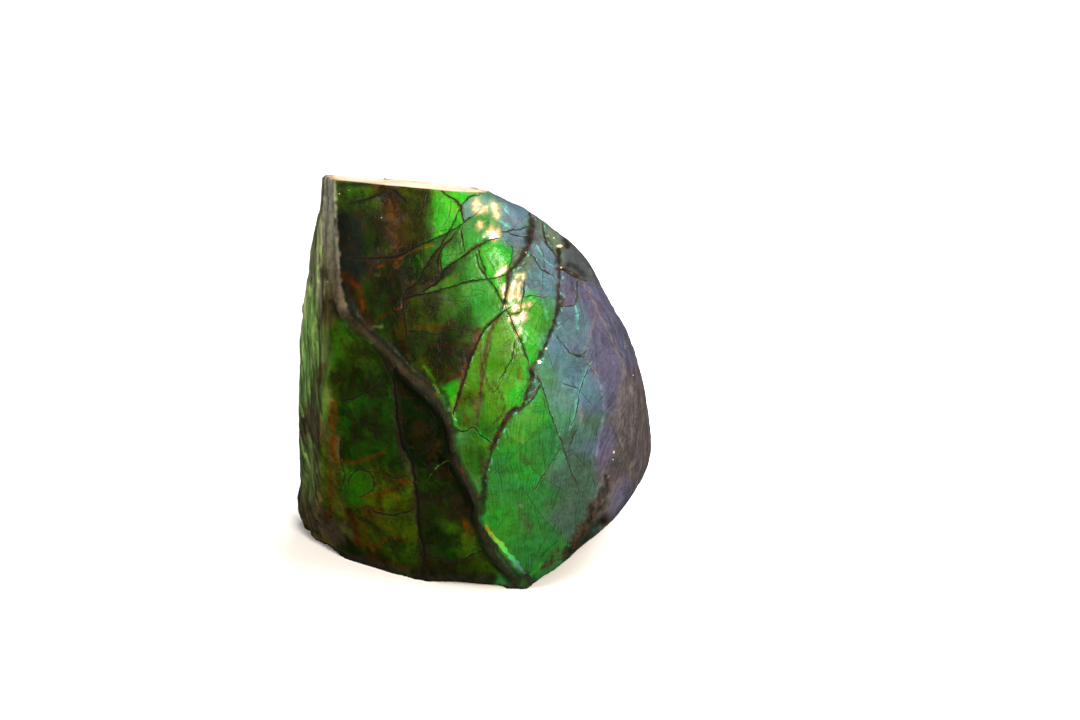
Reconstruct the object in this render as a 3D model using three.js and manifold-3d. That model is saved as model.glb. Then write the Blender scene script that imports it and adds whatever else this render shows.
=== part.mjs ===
// Ammolite specimen: a broken fragment of an ammonite whorl. The cracked nacre of the shell covers the
// front and rolls away to the right, over ironstone matrix. The top is sawn flat, the left side shows
// the layers, a rough ridge of matrix crosses the front, and the back and the lower right are broken.
// Millimetres, +Z up. The stone stands on the flat base at Z = 0.

import * as THREE from "three";
import { mergeVertices } from "three/addons/utils/BufferGeometryUtils.js";
import { ImprovedNoise } from "three/addons/math/ImprovedNoise.js";
import Module from "manifold-3d";

// The front is laid out in a plane that leans back: u runs right, v runs up the plane and w goes into
// the stone. The lowest tip of the stone is at v = 0 and w = 0.
const faceLean = THREE.MathUtils.degToRad(22);
const backDepth = 29; // of the back from the tip, at the base
const backLean = 0.2; // forward lean of the back, per mm of height
const rollFlatness = 0.85; // depth of the roll on the right, over its width

// Rails: [v, value] pairs.
const rightLimb = [[-4, 23], [8, 23.8], [17.4, 23.9], [23.3, 23.7], [27.3, 22.8], [31.4, 21.8],
  [35, 20.4], [38.5, 18.5], [41.5, 16.9], [44.6, 15.2], [47.2, 12.8], [49.1, 10.1], [50.7, 7.3],
  [51.5, 6], [52.9, 3.3], [54.1, 0.6], [55.1, -2], [56, -4.6], [60, -8]];
const leftLimb = [[-4, -22.6], [8, -22.9], [9, -23.5], [10.3, -24.1], [19.9, -24.2], [25.3, -24.1],
  [29.4, -23.9], [33.5, -23.7], [37.3, -23.3], [41.6, -22.7], [45, -22.3], [50.5, -21.3],
  [55.1, -20.8], [60, -20.4]];
const frontCorner = [[-4, -19.6], [5, -20], [10.3, -21.2], [14.4, -21.2], [18.5, -20.9],
  [22.6, -20.5], [26, -20.4], [28.7, -19.9], [31, -19.3], [35.5, -19], [40.9, -18.2], [47.7, -18.4],
  [55.1, -18.8], [60, -18.9]];
const rollStart = [[-4, 3.5], [18, 3.3], [34, 3.3], [39, 2], [45, 0], [52, -2.9], [56, -7],
  [60, -12]];
const frontDepth = [[-4, 2], [0, 0], [13.5, -6.5], [26, -10.5], [40.4, -12], [54.7, -11.3],
  [60, -10.7]];
const cornerDepth = [[-4, 18], [0, 18], [5, 17], [10, 13], [20, 8], [30, 5.5], [40, 4], [55, 2.5],
  [60, 2.5]];
const cornerBend = [[-4, 2.9], [0, 2.8], [12, 2.6], [30, 2.2], [60, 2]];
const sideDepth = [[-4, 8], [8, 9], [20, 9.5], [30, 10], [45, 8], [55, 6], [60, 5.5]];

const bendEnd = 7; // u where the front starts to turn to the left
const rows = { from: -3, to: 59, count: 48 };
const columns = { front: 19, roll: 14, rightSide: 5, back: 11, leftSide: 4, strip: 9 };

// The sawn top, in the leaning frame: v on the front at u = 0, and its slopes across and into the stone.
const sawnTop = { height: 53.3, depth: -10.4, across: -0.08, inward: 0.128 };

// Lower outline, as broken: u and v from the left side, round the tip, to the corner on the right.
const brokenEdge = [[-24.3, 11.4], [-23.5, 9], [-22.2, 7.2], [-20.5, 6.4], [-19, 5.7], [-17, 5],
  [-16.6, 4], [-15.5, 3.5], [-14.4, 2.9], [-11.7, 1.9], [-7.6, 1.1], [-0.8, 0.7], [3.3, 0.5],
  [5, -0.3], [6.9, -0.2], [8.7, 1.4], [10.7, 2.6], [13.7, 5], [17.5, 7.8], [19.9, 10.3], [22, 13.3],
  [23, 15.5], [24.2, 17]];

// What stands proud of the front: path, half width and height at the start and at the end.
const ridges = [
  { path: [[-18.5, 36.4], [-17.1, 35.5], [-15.8, 34.5], [-14.7, 33.5], [-13.3, 32.4], [-12.2, 31]],
    halfWidth: [0.45, 0.7], height: [0.5, 0.7] },
  { path: [[-16.9, 39.2], [-16.4, 37.6], [-15, 35.1], [-13.3, 33.2], [-11.4, 31.8], [-9.8, 29.6],
    [-7.6, 27.3], [-5.2, 25], [-3.5, 22.6], [-2.8, 20.1], [-3, 18.3], [-2.4, 16.6], [-0.8, 14.1],
    [0.4, 11.7], [0.8, 9], [1.4, 6.7], [2.6, 4.6], [4.4, 2.4], [6.6, 0.4]],
    halfWidth: [0.7, 1.05], height: [0.8, 1.1] },
  { path: [[1.6, 7.3], [2.6, 5.8], [3.9, 4.4], [5.6, 2.6], [6.9, 1.3]],
    halfWidth: [0.35, 0.55], height: [0.5, 0.7] },
];

// Open cracks between the plates of nacre: path, half width at the surface and depth.
const cracks = [
  { path: [[11.4, 45], [11.4, 42], [11.3, 39.2], [11.2, 36.9], [10.1, 34.1], [8.8, 31.4],
    [7.5, 29.4], [7.3, 27.7], [6.5, 24.6], [4.9, 23.8], [3.3, 21.2], [2.2, 18.8], [1.2, 15.8],
    [1, 13.9]], halfWidth: 0.4, depth: 0.7 },
  { path: [[7.4, 50.2], [7.6, 48.7], [7.2, 46.4], [6, 44.3], [4.4, 42.7], [4.1, 40.5], [3.5, 37.8]],
    halfWidth: 0.42, depth: 0.7 },
  { path: [[-11.4, 27.4], [-10.7, 25.3], [-10.5, 21.9], [-10.2, 19.6], [-9, 17.1], [-8.3, 13.7],
    [-7.8, 9.7], [-7.2, 4.6]], halfWidth: 0.4, depth: 0.6 },
  { path: [[7.9, 28.3], [8.8, 27.6], [9.7, 24.8], [10.9, 22.3], [11.6, 19.6], [12.5, 17.1],
    [14.1, 13.1]], halfWidth: 0.26, depth: 0.4 },
  { path: [[-17.6, 44.5], [-13.1, 44.6], [-9.7, 45.2], [-6.3, 47.1], [-3.3, 48.7], [0.2, 50.7]],
    halfWidth: 0.26, depth: 0.4 },
  { path: [[-2.1, 51.4], [-3.3, 49.6], [-4.9, 46.1], [-6.9, 43.2], [-8.3, 41.1], [-9.9, 38.5],
    [-9.7, 35.9], [-9.6, 34]], halfWidth: 0.26, depth: 0.4 },
  { path: [[-9.2, 38.8], [-8.3, 39.3], [-4.2, 40.3], [-0.1, 41.5], [3.9, 42.6]],
    halfWidth: 0.26, depth: 0.4 },
  { path: [[-6.8, 40.2], [-4.6, 41.6], [-2.9, 44.1], [-0.1, 46.1], [3.3, 47.3], [6.9, 48.1]],
    halfWidth: 0.26, depth: 0.4 },
  { path: [[0.5, 45.7], [1.5, 41.9], [3.3, 39.3], [4.2, 37.3], [5.8, 34.1], [7, 31]],
    halfWidth: 0.24, depth: 0.4 },
  { path: [[3.5, 37], [1.9, 35.6], [0.3, 33.5], [-1.2, 29.4], [-2.4, 25.3]],
    halfWidth: 0.3, depth: 0.4 },
  { path: [[-17.6, 17.4], [-14.4, 17.8], [-10.8, 18.8]], halfWidth: 0.3, depth: 0.35 },
  { path: [[-17.6, 25.2], [-14.4, 26.4], [-12.6, 27.8]], halfWidth: 0.26, depth: 0.35 },
];

const sweepStep = 1.9; // mm between the rings of a ridge or a crack
const nub = { u: 7.1, v: 1.1, radius: 0.75 }; // at the foot of the long ridge
const nodule = { u: -17.4, v: 37.6, radius: 1.15 }; // at its head
const chip = { u: 14.1, v: 44.4, width: 9, height: 4.4, depth: 0.55, turn: -0.62 };

const wasm = await Module();
wasm.setup();

// ---- helpers ----

const noise = new ImprovedNoise();

// A smooth curve through the [key, value] pairs of a rail.
function railValue(rail, key) {
  let i = 1;
  while (i < rail.length - 1 && rail[i][0] < key) i += 1;
  const [k0, v0] = rail[i - 1];
  const [k1, v1] = rail[i];
  const slope = (a, b) => (rail[b][1] - rail[a][1]) / (rail[b][0] - rail[a][0]);
  const m0 = slope(Math.max(i - 2, 0), i);
  const m1 = slope(i - 1, Math.min(i + 1, rail.length - 1));
  const t = THREE.MathUtils.clamp((key - k0) / (k1 - k0), 0, 1);
  const span = k1 - k0;
  return (2 * t ** 3 - 3 * t * t + 1) * v0 + (t ** 3 - 2 * t * t + t) * span * m0
    + (3 * t * t - 2 * t ** 3) * v1 + (t ** 3 - t * t) * span * m1;
}

// From the leaning frame of the front to the frame of the part.
function place(u, v, w) {
  const s = Math.sin(faceLean);
  const c = Math.cos(faceLean);
  return new THREE.Vector3(u, v * s + w * c, v * c - w * s);
}

function asSolid(geometry) {
  const bare = geometry.clone();
  bare.deleteAttribute("normal");
  bare.deleteAttribute("uv");
  const merged = mergeVertices(bare, 1e-4);
  return new wasm.Manifold(new wasm.Mesh({
    numProp: 3,
    vertProperties: merged.attributes.position.array,
    triVerts: new Uint32Array(merged.index.array),
  }));
}

function asGeometry(solid) {
  const { vertProperties, triVerts } = solid.getMesh();
  const geometry = new THREE.BufferGeometry();
  geometry.setAttribute("position", new THREE.BufferAttribute(vertProperties, 3));
  geometry.setIndex(new THREE.BufferAttribute(triVerts, 1));
  return geometry;
}

// A closed skin over rings of equally many points, with a fan at each end.
function skin(rings) {
  const perRing = rings[0].length;
  const points = rings.flat();
  const index = [];
  for (let r = 0; r < rings.length - 1; r += 1) {
    for (let i = 0; i < perRing; i += 1) {
      const a = r * perRing + i;
      const b = r * perRing + ((i + 1) % perRing);
      index.push(a, b, b + perRing, a, b + perRing, a + perRing);
    }
  }
  const fan = (ring, first, turned) => {
    const middle = ring.reduce((sum, p) => sum.add(p), new THREE.Vector3()).divideScalar(perRing);
    points.push(middle);
    for (let i = 0; i < perRing; i += 1) {
      const a = first + i;
      const b = first + ((i + 1) % perRing);
      index.push(points.length - 1, turned ? b : a, turned ? a : b);
    }
  };
  fan(rings[0], 0, true);
  fan(rings.at(-1), (rings.length - 1) * perRing, false);
  const geometry = new THREE.BufferGeometry().setFromPoints(points);
  geometry.setIndex(index);
  return geometry;
}

// ---- the stone ----

// Depth of the front: it leans, turns to the left towards its corner and rolls away on the right.
function frontAt(u, v) {
  const bendSpan = bendEnd - railValue(frontCorner, v);
  const bend = THREE.MathUtils.clamp((bendEnd - u) / bendSpan, 0, 1.1);
  const start = railValue(rollStart, v);
  const reach = railValue(rightLimb, v) - start;
  const roll = THREE.MathUtils.clamp((u - start) / reach, 0, 1);
  return railValue(frontDepth, v)
    + railValue(cornerDepth, v) * bend ** railValue(cornerBend, v)
    + rollFlatness * reach * (1 - Math.sqrt(1 - roll * roll))
    + 0.22 * noise.noise(u * 0.21, v * 0.21, 3.7);
}

function backAt(v) {
  const s = Math.sin(faceLean);
  const c = Math.cos(faceLean);
  return (backDepth - v * (backLean * c + s)) / (c - backLean * s);
}

// Broken matrix: lumps, and ledges where it split along its layers.
function roughness(u, v, w) {
  const lump = 1.5 * noise.noise(u * 0.13, v * 0.13, w * 0.13)
    + 0.55 * noise.noise(u * 0.37, v * 0.37, w * 0.37);
  const layer = v * 0.15 + u * 0.05 + lump * 0.5;
  return lump + 1.1 * THREE.MathUtils.smoothstep(layer - Math.floor(layer), 0.42, 0.58);
}

// One closed loop round the stone at height v, counterclockwise as seen from above.
function loopAt(v) {
  const corner = railValue(frontCorner, v);
  const right = railValue(rightLimb, v);
  const left = railValue(leftLimb, v);
  const start = railValue(rollStart, v);
  const rightW = frontAt(right, v);
  const cornerW = frontAt(corner, v);
  const leftW = cornerW + railValue(sideDepth, v);
  const backW = Math.max(backAt(v), rightW + 2.5, leftW + 2.5);
  const inset = Math.min(5, 0.2 * (right - left));
  const loop = [];
  const put = (u, w, rough = 0) => {
    const middle = { u: (left + right) / 2, w: (cornerW + backW) / 2 };
    const length = Math.hypot(u - middle.u, w - middle.w);
    const out = rough === 0 ? 0 : rough * (roughness(u, v, w) - 0.6);
    loop.push(place(u + (out * (u - middle.u)) / length, v, w + (out * (w - middle.w)) / length));
  };
  for (let i = 0; i < columns.front; i += 1) {
    const u = corner + ((start - corner) * i) / columns.front;
    put(u, frontAt(u, v));
  }
  for (let i = 0; i < columns.roll; i += 1) {
    const u = start + (right - start) * Math.sin(((i / columns.roll) * Math.PI) / 2);
    put(u, frontAt(u, v));
  }
  for (let i = 0; i < columns.rightSide; i += 1) {
    const turn = ((i / columns.rightSide) * Math.PI) / 2;
    const rough = (0.8 * i) / columns.rightSide; // the nacre ends behind the limb
    put(right - inset * (1 - Math.cos(turn)), rightW + (backW - rightW) * Math.sin(turn), rough);
  }
  for (let i = 0; i < columns.back; i += 1) {
    put(right - inset + ((left - right + 2 * inset) * i) / columns.back, backW, 1);
  }
  for (let i = 0; i < columns.leftSide; i += 1) {
    const turn = ((1 - i / columns.leftSide) * Math.PI) / 2;
    const rough = 0.8 * (1 - i / columns.leftSide);
    put(left + inset * (1 - Math.cos(turn)), leftW + (backW - leftW) * Math.sin(turn), rough);
  }
  for (let i = 0; i < columns.strip; i += 1) {
    const along = i / columns.strip; // from the left limb to the front corner
    const shift = 1.5 * noise.noise(v * 0.12, 0.4, 2);
    const layers = 0.22 * Math.sin(along * Math.PI * 5 + shift) * Math.sin(along * Math.PI);
    put(left + (corner - left) * along + layers, leftW + (cornerW - leftW) * along);
  }
  return loop;
}

function stone() {
  const rings = [];
  for (let r = 0; r <= rows.count; r += 1) {
    rings.push(loopAt(rows.from + ((rows.to - rows.from) * r) / rows.count));
  }
  return asSolid(skin(rings));
}

// Everything inside the broken lower outline. Behind the front the break wanders up into the stone.
function brokenOutline() {
  const shape = new THREE.Shape();
  shape.moveTo(-40, 70);
  shape.lineTo(-40, 11.4);
  brokenEdge.forEach(([u, v]) => shape.lineTo(u, v));
  shape.lineTo(40, 17);
  shape.lineTo(40, 70);
  const farW = 40;
  const geometry = new THREE.ExtrudeGeometry(shape, { depth: 60, steps: 16, bevelEnabled: false });
  const at = geometry.attributes.position;
  for (let i = 0; i < at.count; i += 1) {
    const u = at.getX(i);
    const v = at.getY(i);
    const w = farW - at.getZ(i);
    const behind = THREE.MathUtils.smoothstep(w - frontAt(u, v), 0.5, 5);
    const rise = v > 60 ? 0 : behind * (1 + 0.8 * noise.noise(u * 0.3, v * 0.3, w * 0.3));
    at.setXYZ(i, ...place(u, v + rise, w).toArray());
  }
  return asSolid(geometry);
}

// A box whose lower face lies in the sawn plane.
function aboveSaw() {
  const up = place(-sawnTop.across, 1, -sawnTop.inward).normalize();
  const thickness = 40;
  const box = new THREE.BoxGeometry(160, 160, thickness);
  box.applyQuaternion(new THREE.Quaternion().setFromUnitVectors(new THREE.Vector3(0, 0, 1), up));
  const onPlane = place(0, sawnTop.height, sawnTop.depth);
  box.translate(...onPlane.addScaledVector(up, thickness / 2).toArray());
  return asSolid(box);
}

function belowFloor() {
  const thickness = 40;
  return asSolid(new THREE.BoxGeometry(160, 160, thickness).translate(0, 0, -thickness / 2));
}

// ---- ridges and cracks on the front ----

function onFront(u, v) {
  return place(u, v, frontAt(u, v));
}

function frontNormal(u, v) {
  const reach = 0.6;
  const across = onFront(u + reach, v).sub(onFront(u - reach, v));
  const up = onFront(u, v + reach).sub(onFront(u, v - reach));
  return across.cross(up).normalize();
}

// A section of [across, out] points carried along a path that lies on the front.
function sweep(path, section, sizeAt) {
  const route = new THREE.CatmullRomCurve3(path.map(([u, v]) => new THREE.Vector3(u, v, 0)));
  const steps = Math.max(3, Math.round(route.getLength() / sweepStep));
  const rings = [];
  for (let i = 0; i <= steps; i += 1) {
    const t = i / steps;
    const here = route.getPointAt(t);
    const heading = route.getTangentAt(t).multiplyScalar(0.3);
    const ahead = onFront(here.x + heading.x, here.y + heading.y);
    const behind = onFront(here.x - heading.x, here.y - heading.y);
    const normal = frontNormal(here.x, here.y);
    const side = ahead.sub(behind).cross(normal).normalize();
    const size = sizeAt(t, here);
    rings.push(section.map(([across, out]) => onFront(here.x, here.y)
      .addScaledVector(side, across * size.halfWidth)
      .addScaledVector(normal, out * size.height)));
  }
  return asSolid(skin(rings));
}

function ridge({ path, halfWidth, height }, seed) {
  const section = [[-1.25, -0.9], [-0.95, 0.3], [-0.45, 0.9], [0.3, 1], [0.85, 0.45], [1.25, -0.9]];
  return sweep(path, section, (t, here) => {
    const ends = Math.min(1, 0.35 + 5 * Math.min(t, 1 - t));
    const wander = 1 + 0.45 * noise.noise(here.x * 0.55, here.y * 0.55, seed);
    return {
      halfWidth: THREE.MathUtils.lerp(...halfWidth, t) * ends * wander,
      height: THREE.MathUtils.lerp(...height, t) * ends * (2 - wander),
    };
  });
}

function crack({ path, halfWidth, depth }, seed) {
  const section = [[0, -1], [-1.6, 0.6], [1.6, 0.6]];
  return sweep(path, section, (t, here) => {
    const ends = Math.min(1, 0.3 + 4 * Math.min(t, 1 - t));
    const wander = 1 + 0.4 * noise.noise(here.x * 0.6, here.y * 0.6, seed);
    return { halfWidth: halfWidth * ends * wander, height: depth * ends };
  });
}

function lump({ u, v, radius }, squash) {
  const ball = new THREE.SphereGeometry(radius, 10, 7).scale(1, squash, 1);
  return asSolid(ball.translate(...onFront(u, v).toArray()));
}

// A flat facet where the edge has chipped.
function chipAway() {
  const box = new THREE.BoxGeometry(chip.width, chip.height, 4);
  box.rotateZ(chip.turn);
  box.translate(0, 0, 2);
  const facing = frontNormal(chip.u, chip.v);
  box.applyQuaternion(new THREE.Quaternion().setFromUnitVectors(new THREE.Vector3(0, 0, 1), facing));
  box.translate(...onFront(chip.u, chip.v).addScaledVector(facing, -chip.depth).toArray());
  return asSolid(box);
}

function ammoliteFossil() {
  let solid = stone().intersect(brokenOutline());
  ridges.forEach((each, i) => { solid = solid.add(ridge(each, i + 0.5)); });
  solid = solid.add(lump(nub, 0.8)).add(lump(nodule, 0.7));
  cracks.forEach((each, i) => { solid = solid.subtract(crack(each, i + 0.5)); });
  solid = solid.subtract(chipAway()).subtract(aboveSaw()).subtract(belowFloor());
  const material = new THREE.MeshStandardMaterial({ color: 0x2f7a1e, roughness: 0.32, metalness: 0.1 });
  const mesh = new THREE.Mesh(asGeometry(solid), material);
  mesh.name = "ammolite_fossil";
  return mesh;
}

// The origin is under the middle of the stone.
const fossil = ammoliteFossil();
const middle = new THREE.Box3().setFromObject(fossil).getCenter(new THREE.Vector3());
fossil.position.set(-middle.x, -middle.y, 0);

const specimen = new THREE.Group();
specimen.add(fossil);

export default specimen;
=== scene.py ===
import heapq
import math
import random
from types import SimpleNamespace

import bmesh
import bpy
import numpy as np
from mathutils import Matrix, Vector, kdtree, noise


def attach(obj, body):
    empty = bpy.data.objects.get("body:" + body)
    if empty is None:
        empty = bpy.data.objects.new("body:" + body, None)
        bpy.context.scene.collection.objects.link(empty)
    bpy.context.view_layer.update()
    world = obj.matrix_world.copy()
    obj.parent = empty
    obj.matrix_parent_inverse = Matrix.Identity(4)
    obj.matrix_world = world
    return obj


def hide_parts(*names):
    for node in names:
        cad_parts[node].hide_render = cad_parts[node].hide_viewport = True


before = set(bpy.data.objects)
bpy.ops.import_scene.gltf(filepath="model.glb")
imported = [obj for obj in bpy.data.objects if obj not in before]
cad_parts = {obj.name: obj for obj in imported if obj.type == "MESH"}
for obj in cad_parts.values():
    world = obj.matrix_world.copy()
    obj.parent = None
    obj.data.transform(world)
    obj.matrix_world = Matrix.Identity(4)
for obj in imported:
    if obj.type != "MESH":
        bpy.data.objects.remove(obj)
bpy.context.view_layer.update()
random.seed(11)

mm = 0.001

# The front leans back. On it, across runs right, up runs up the face and near runs out of the stone,
# all in millimetres from the lowest tip.
face = {
    "lean": math.radians(22),
    "tip": Vector((0.162, -14.04, 0)),
}
leanSin = math.sin(face["lean"])
leanCos = math.cos(face["lean"])
acrossAxis = Vector((1, 0, 0))
upAxis = Vector((0, leanSin, leanCos))
nearAxis = Vector((0, -leanCos, leanSin))

view = {
    "lens": 200,
    "sensor": 36,
    "frameWidth": 143.8,  # mm seen across the picture at the stone
    "aim": (8.7, 30.95, 8),  # across, up, near
    "marksWidth": 146.9,  # the same width, and the middle, in the units that the markings are drawn in
    "marksMiddle": (8.7, 30.7),
    "farthest": 20,  # metres
}
viewDistance = view["frameWidth"] * view["lens"] / view["sensor"]


def facePoint(across, up, near):
    return (face["tip"] + acrossAxis * across + upAxis * up + nearAxis * near) * mm


def addObject(name, data):
    made = bpy.data.objects.new(name, data)
    bpy.context.scene.collection.objects.link(made)
    return made


def makeCamera():
    data = bpy.data.cameras.new("camera")
    data.lens = view["lens"]
    data.sensor_width = view["sensor"]
    data.clip_end = view["farthest"]
    camera = addObject("camera", data)
    camera.location = facePoint(*view["aim"]) + nearAxis * viewDistance * mm
    camera.rotation_euler = (math.pi / 2 - face["lean"], 0, 0)
    bpy.context.scene.camera = camera
    print("camera ready")


class Wire:
    def __init__(self, graph, socket):
        self.graph = graph
        self.socket = socket

    def also(self, name):
        return Wire(self.graph, self.socket.node.outputs[name])

    def maths(self, operation, *values):
        return self.graph.add("ShaderNodeMath", {"operation": operation}, dict(enumerate(values)))

    def __add__(self, other):
        return self.maths("ADD", self, other)

    def __radd__(self, other):
        return self.maths("ADD", other, self)

    def __sub__(self, other):
        return self.maths("SUBTRACT", self, other)

    def __rsub__(self, other):
        return self.maths("SUBTRACT", other, self)

    def __mul__(self, other):
        return self.maths("MULTIPLY", self, other)

    def __truediv__(self, other):
        return self.maths("DIVIDE", self, other)

    def __pow__(self, other):
        return self.maths("POWER", self, other)

    def sine(self):
        return self.maths("SINE", self)

    def size(self):
        return self.maths("ABSOLUTE", self)

    def atMost(self, other):
        return self.maths("MINIMUM", self, other)

    def atLeast(self, other):
        return self.maths("MAXIMUM", self, other)

    def ramp(self, low, high, fromValue=0, toValue=1):
        sockets = {"Value": self, "From Min": low, "From Max": high, "To Min": fromValue, "To Max": toValue}
        return self.graph.add("ShaderNodeMapRange", {"interpolation_type": "SMOOTHSTEP"}, sockets)


class Graph:
    def __init__(self, name):
        self.material = bpy.data.materials.new(name)
        self.material.use_nodes = True
        self.tree = self.material.node_tree
        self.tree.nodes.clear()

    def add(self, kind, settings, sockets, output=0):
        node = self.tree.nodes.new(kind)
        for key, value in settings.items():
            if key == "stops":
                self.setStops(node.color_ramp, value)
            else:
                setattr(node, key, value)
        for key, value in sockets.items():
            if isinstance(value, Wire):
                self.tree.links.new(value.socket, node.inputs[key])
            else:
                node.inputs[key].default_value = value
        return Wire(self, node.outputs[output]) if node.outputs else None

    def setStops(self, band, stops):
        while len(band.elements) < len(stops):
            band.elements.new(1)
        for element, (place, colour) in zip(band.elements, stops):
            element.position = place
            element.color = (*colour, 1)

    def blend(self, amount, first, second):
        def opened(colour):
            return colour if isinstance(colour, Wire) else (*colour, 1)
        sockets = {0: amount, 6: opened(first), 7: opened(second)}
        return self.add("ShaderNodeMix", {"data_type": "RGBA"}, sockets, 2)

    def vector(self, operation, first, second):
        return self.add("ShaderNodeVectorMath", {"operation": operation}, {0: first, 1: second})

    def scaled(self, vector, factor):
        return self.add("ShaderNodeVectorMath", {"operation": "SCALE"}, {0: vector, "Scale": factor})

    def facePlace(self, scale=(1, 1, 1)):
        # Across, up and near in millimetres, stretched by scale.
        place = self.add("ShaderNodeTexCoord", {}, {}, "Object")
        turn = {"Rotation": (face["lean"] - math.pi / 2, 0, 0), "Scale": (1000, 1000, 1000)}
        turned = self.add("ShaderNodeMapping", {}, {"Vector": place, **turn})
        return self.vector("MULTIPLY", turned, scale)

    def cloud(self, place, scale, detail=4, roughness=0.55, distortion=0.0):
        sockets = {"Vector": place, "Scale": scale, "Detail": detail, "Roughness": roughness}
        return self.add("ShaderNodeTexNoise", {}, {**sockets, "Distortion": distortion})

    def cracks(self, place, scale):
        sockets = {"Vector": place, "Scale": scale}
        return self.add("ShaderNodeTexVoronoi", {"feature": "DISTANCE_TO_EDGE"}, sockets)

    def facets(self, place, scale):
        # Height of flat cells, each leaning its own way.
        cells = self.add("ShaderNodeTexVoronoi", {}, {"Vector": place, "Scale": scale}, "Color")
        lean = self.vector("SUBTRACT", cells, (0.5, 0.5, 0.5))
        offset = self.vector("SUBTRACT", place, cells.also("Position"))
        return self.add("ShaderNodeVectorMath", {"operation": "DOT_PRODUCT"}, {0: lean, 1: offset}, "Value")

    def shaded(self, colour, value, hue=0.5, saturation=1.0):
        sockets = {"Hue": hue, "Saturation": saturation, "Value": value, "Color": colour}
        return self.add("ShaderNodeHueSaturation", {}, sockets)

    def band(self, amount, stops):
        return self.add("ShaderNodeValToRGB", {"stops": stops}, {"Fac": amount})

    def bumped(self, height, strength=1.0):
        return self.add("ShaderNodeBump", {}, {"Strength": strength, "Distance": mm, "Height": height})

    def attribute(self, name, output):
        return self.add("ShaderNodeAttribute", {"attribute_name": name}, {}, output)

    def channels(self, name):
        split = self.add("ShaderNodeSeparateXYZ", {}, {0: self.attribute(name, "Vector")})
        return split, split.also("Y"), split.also("Z")

    def finish(self, sockets):
        surface = self.add("ShaderNodeBsdfPrincipled", {}, sockets)
        self.add("ShaderNodeOutputMaterial", {}, {"Surface": surface})
        return self.material


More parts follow.
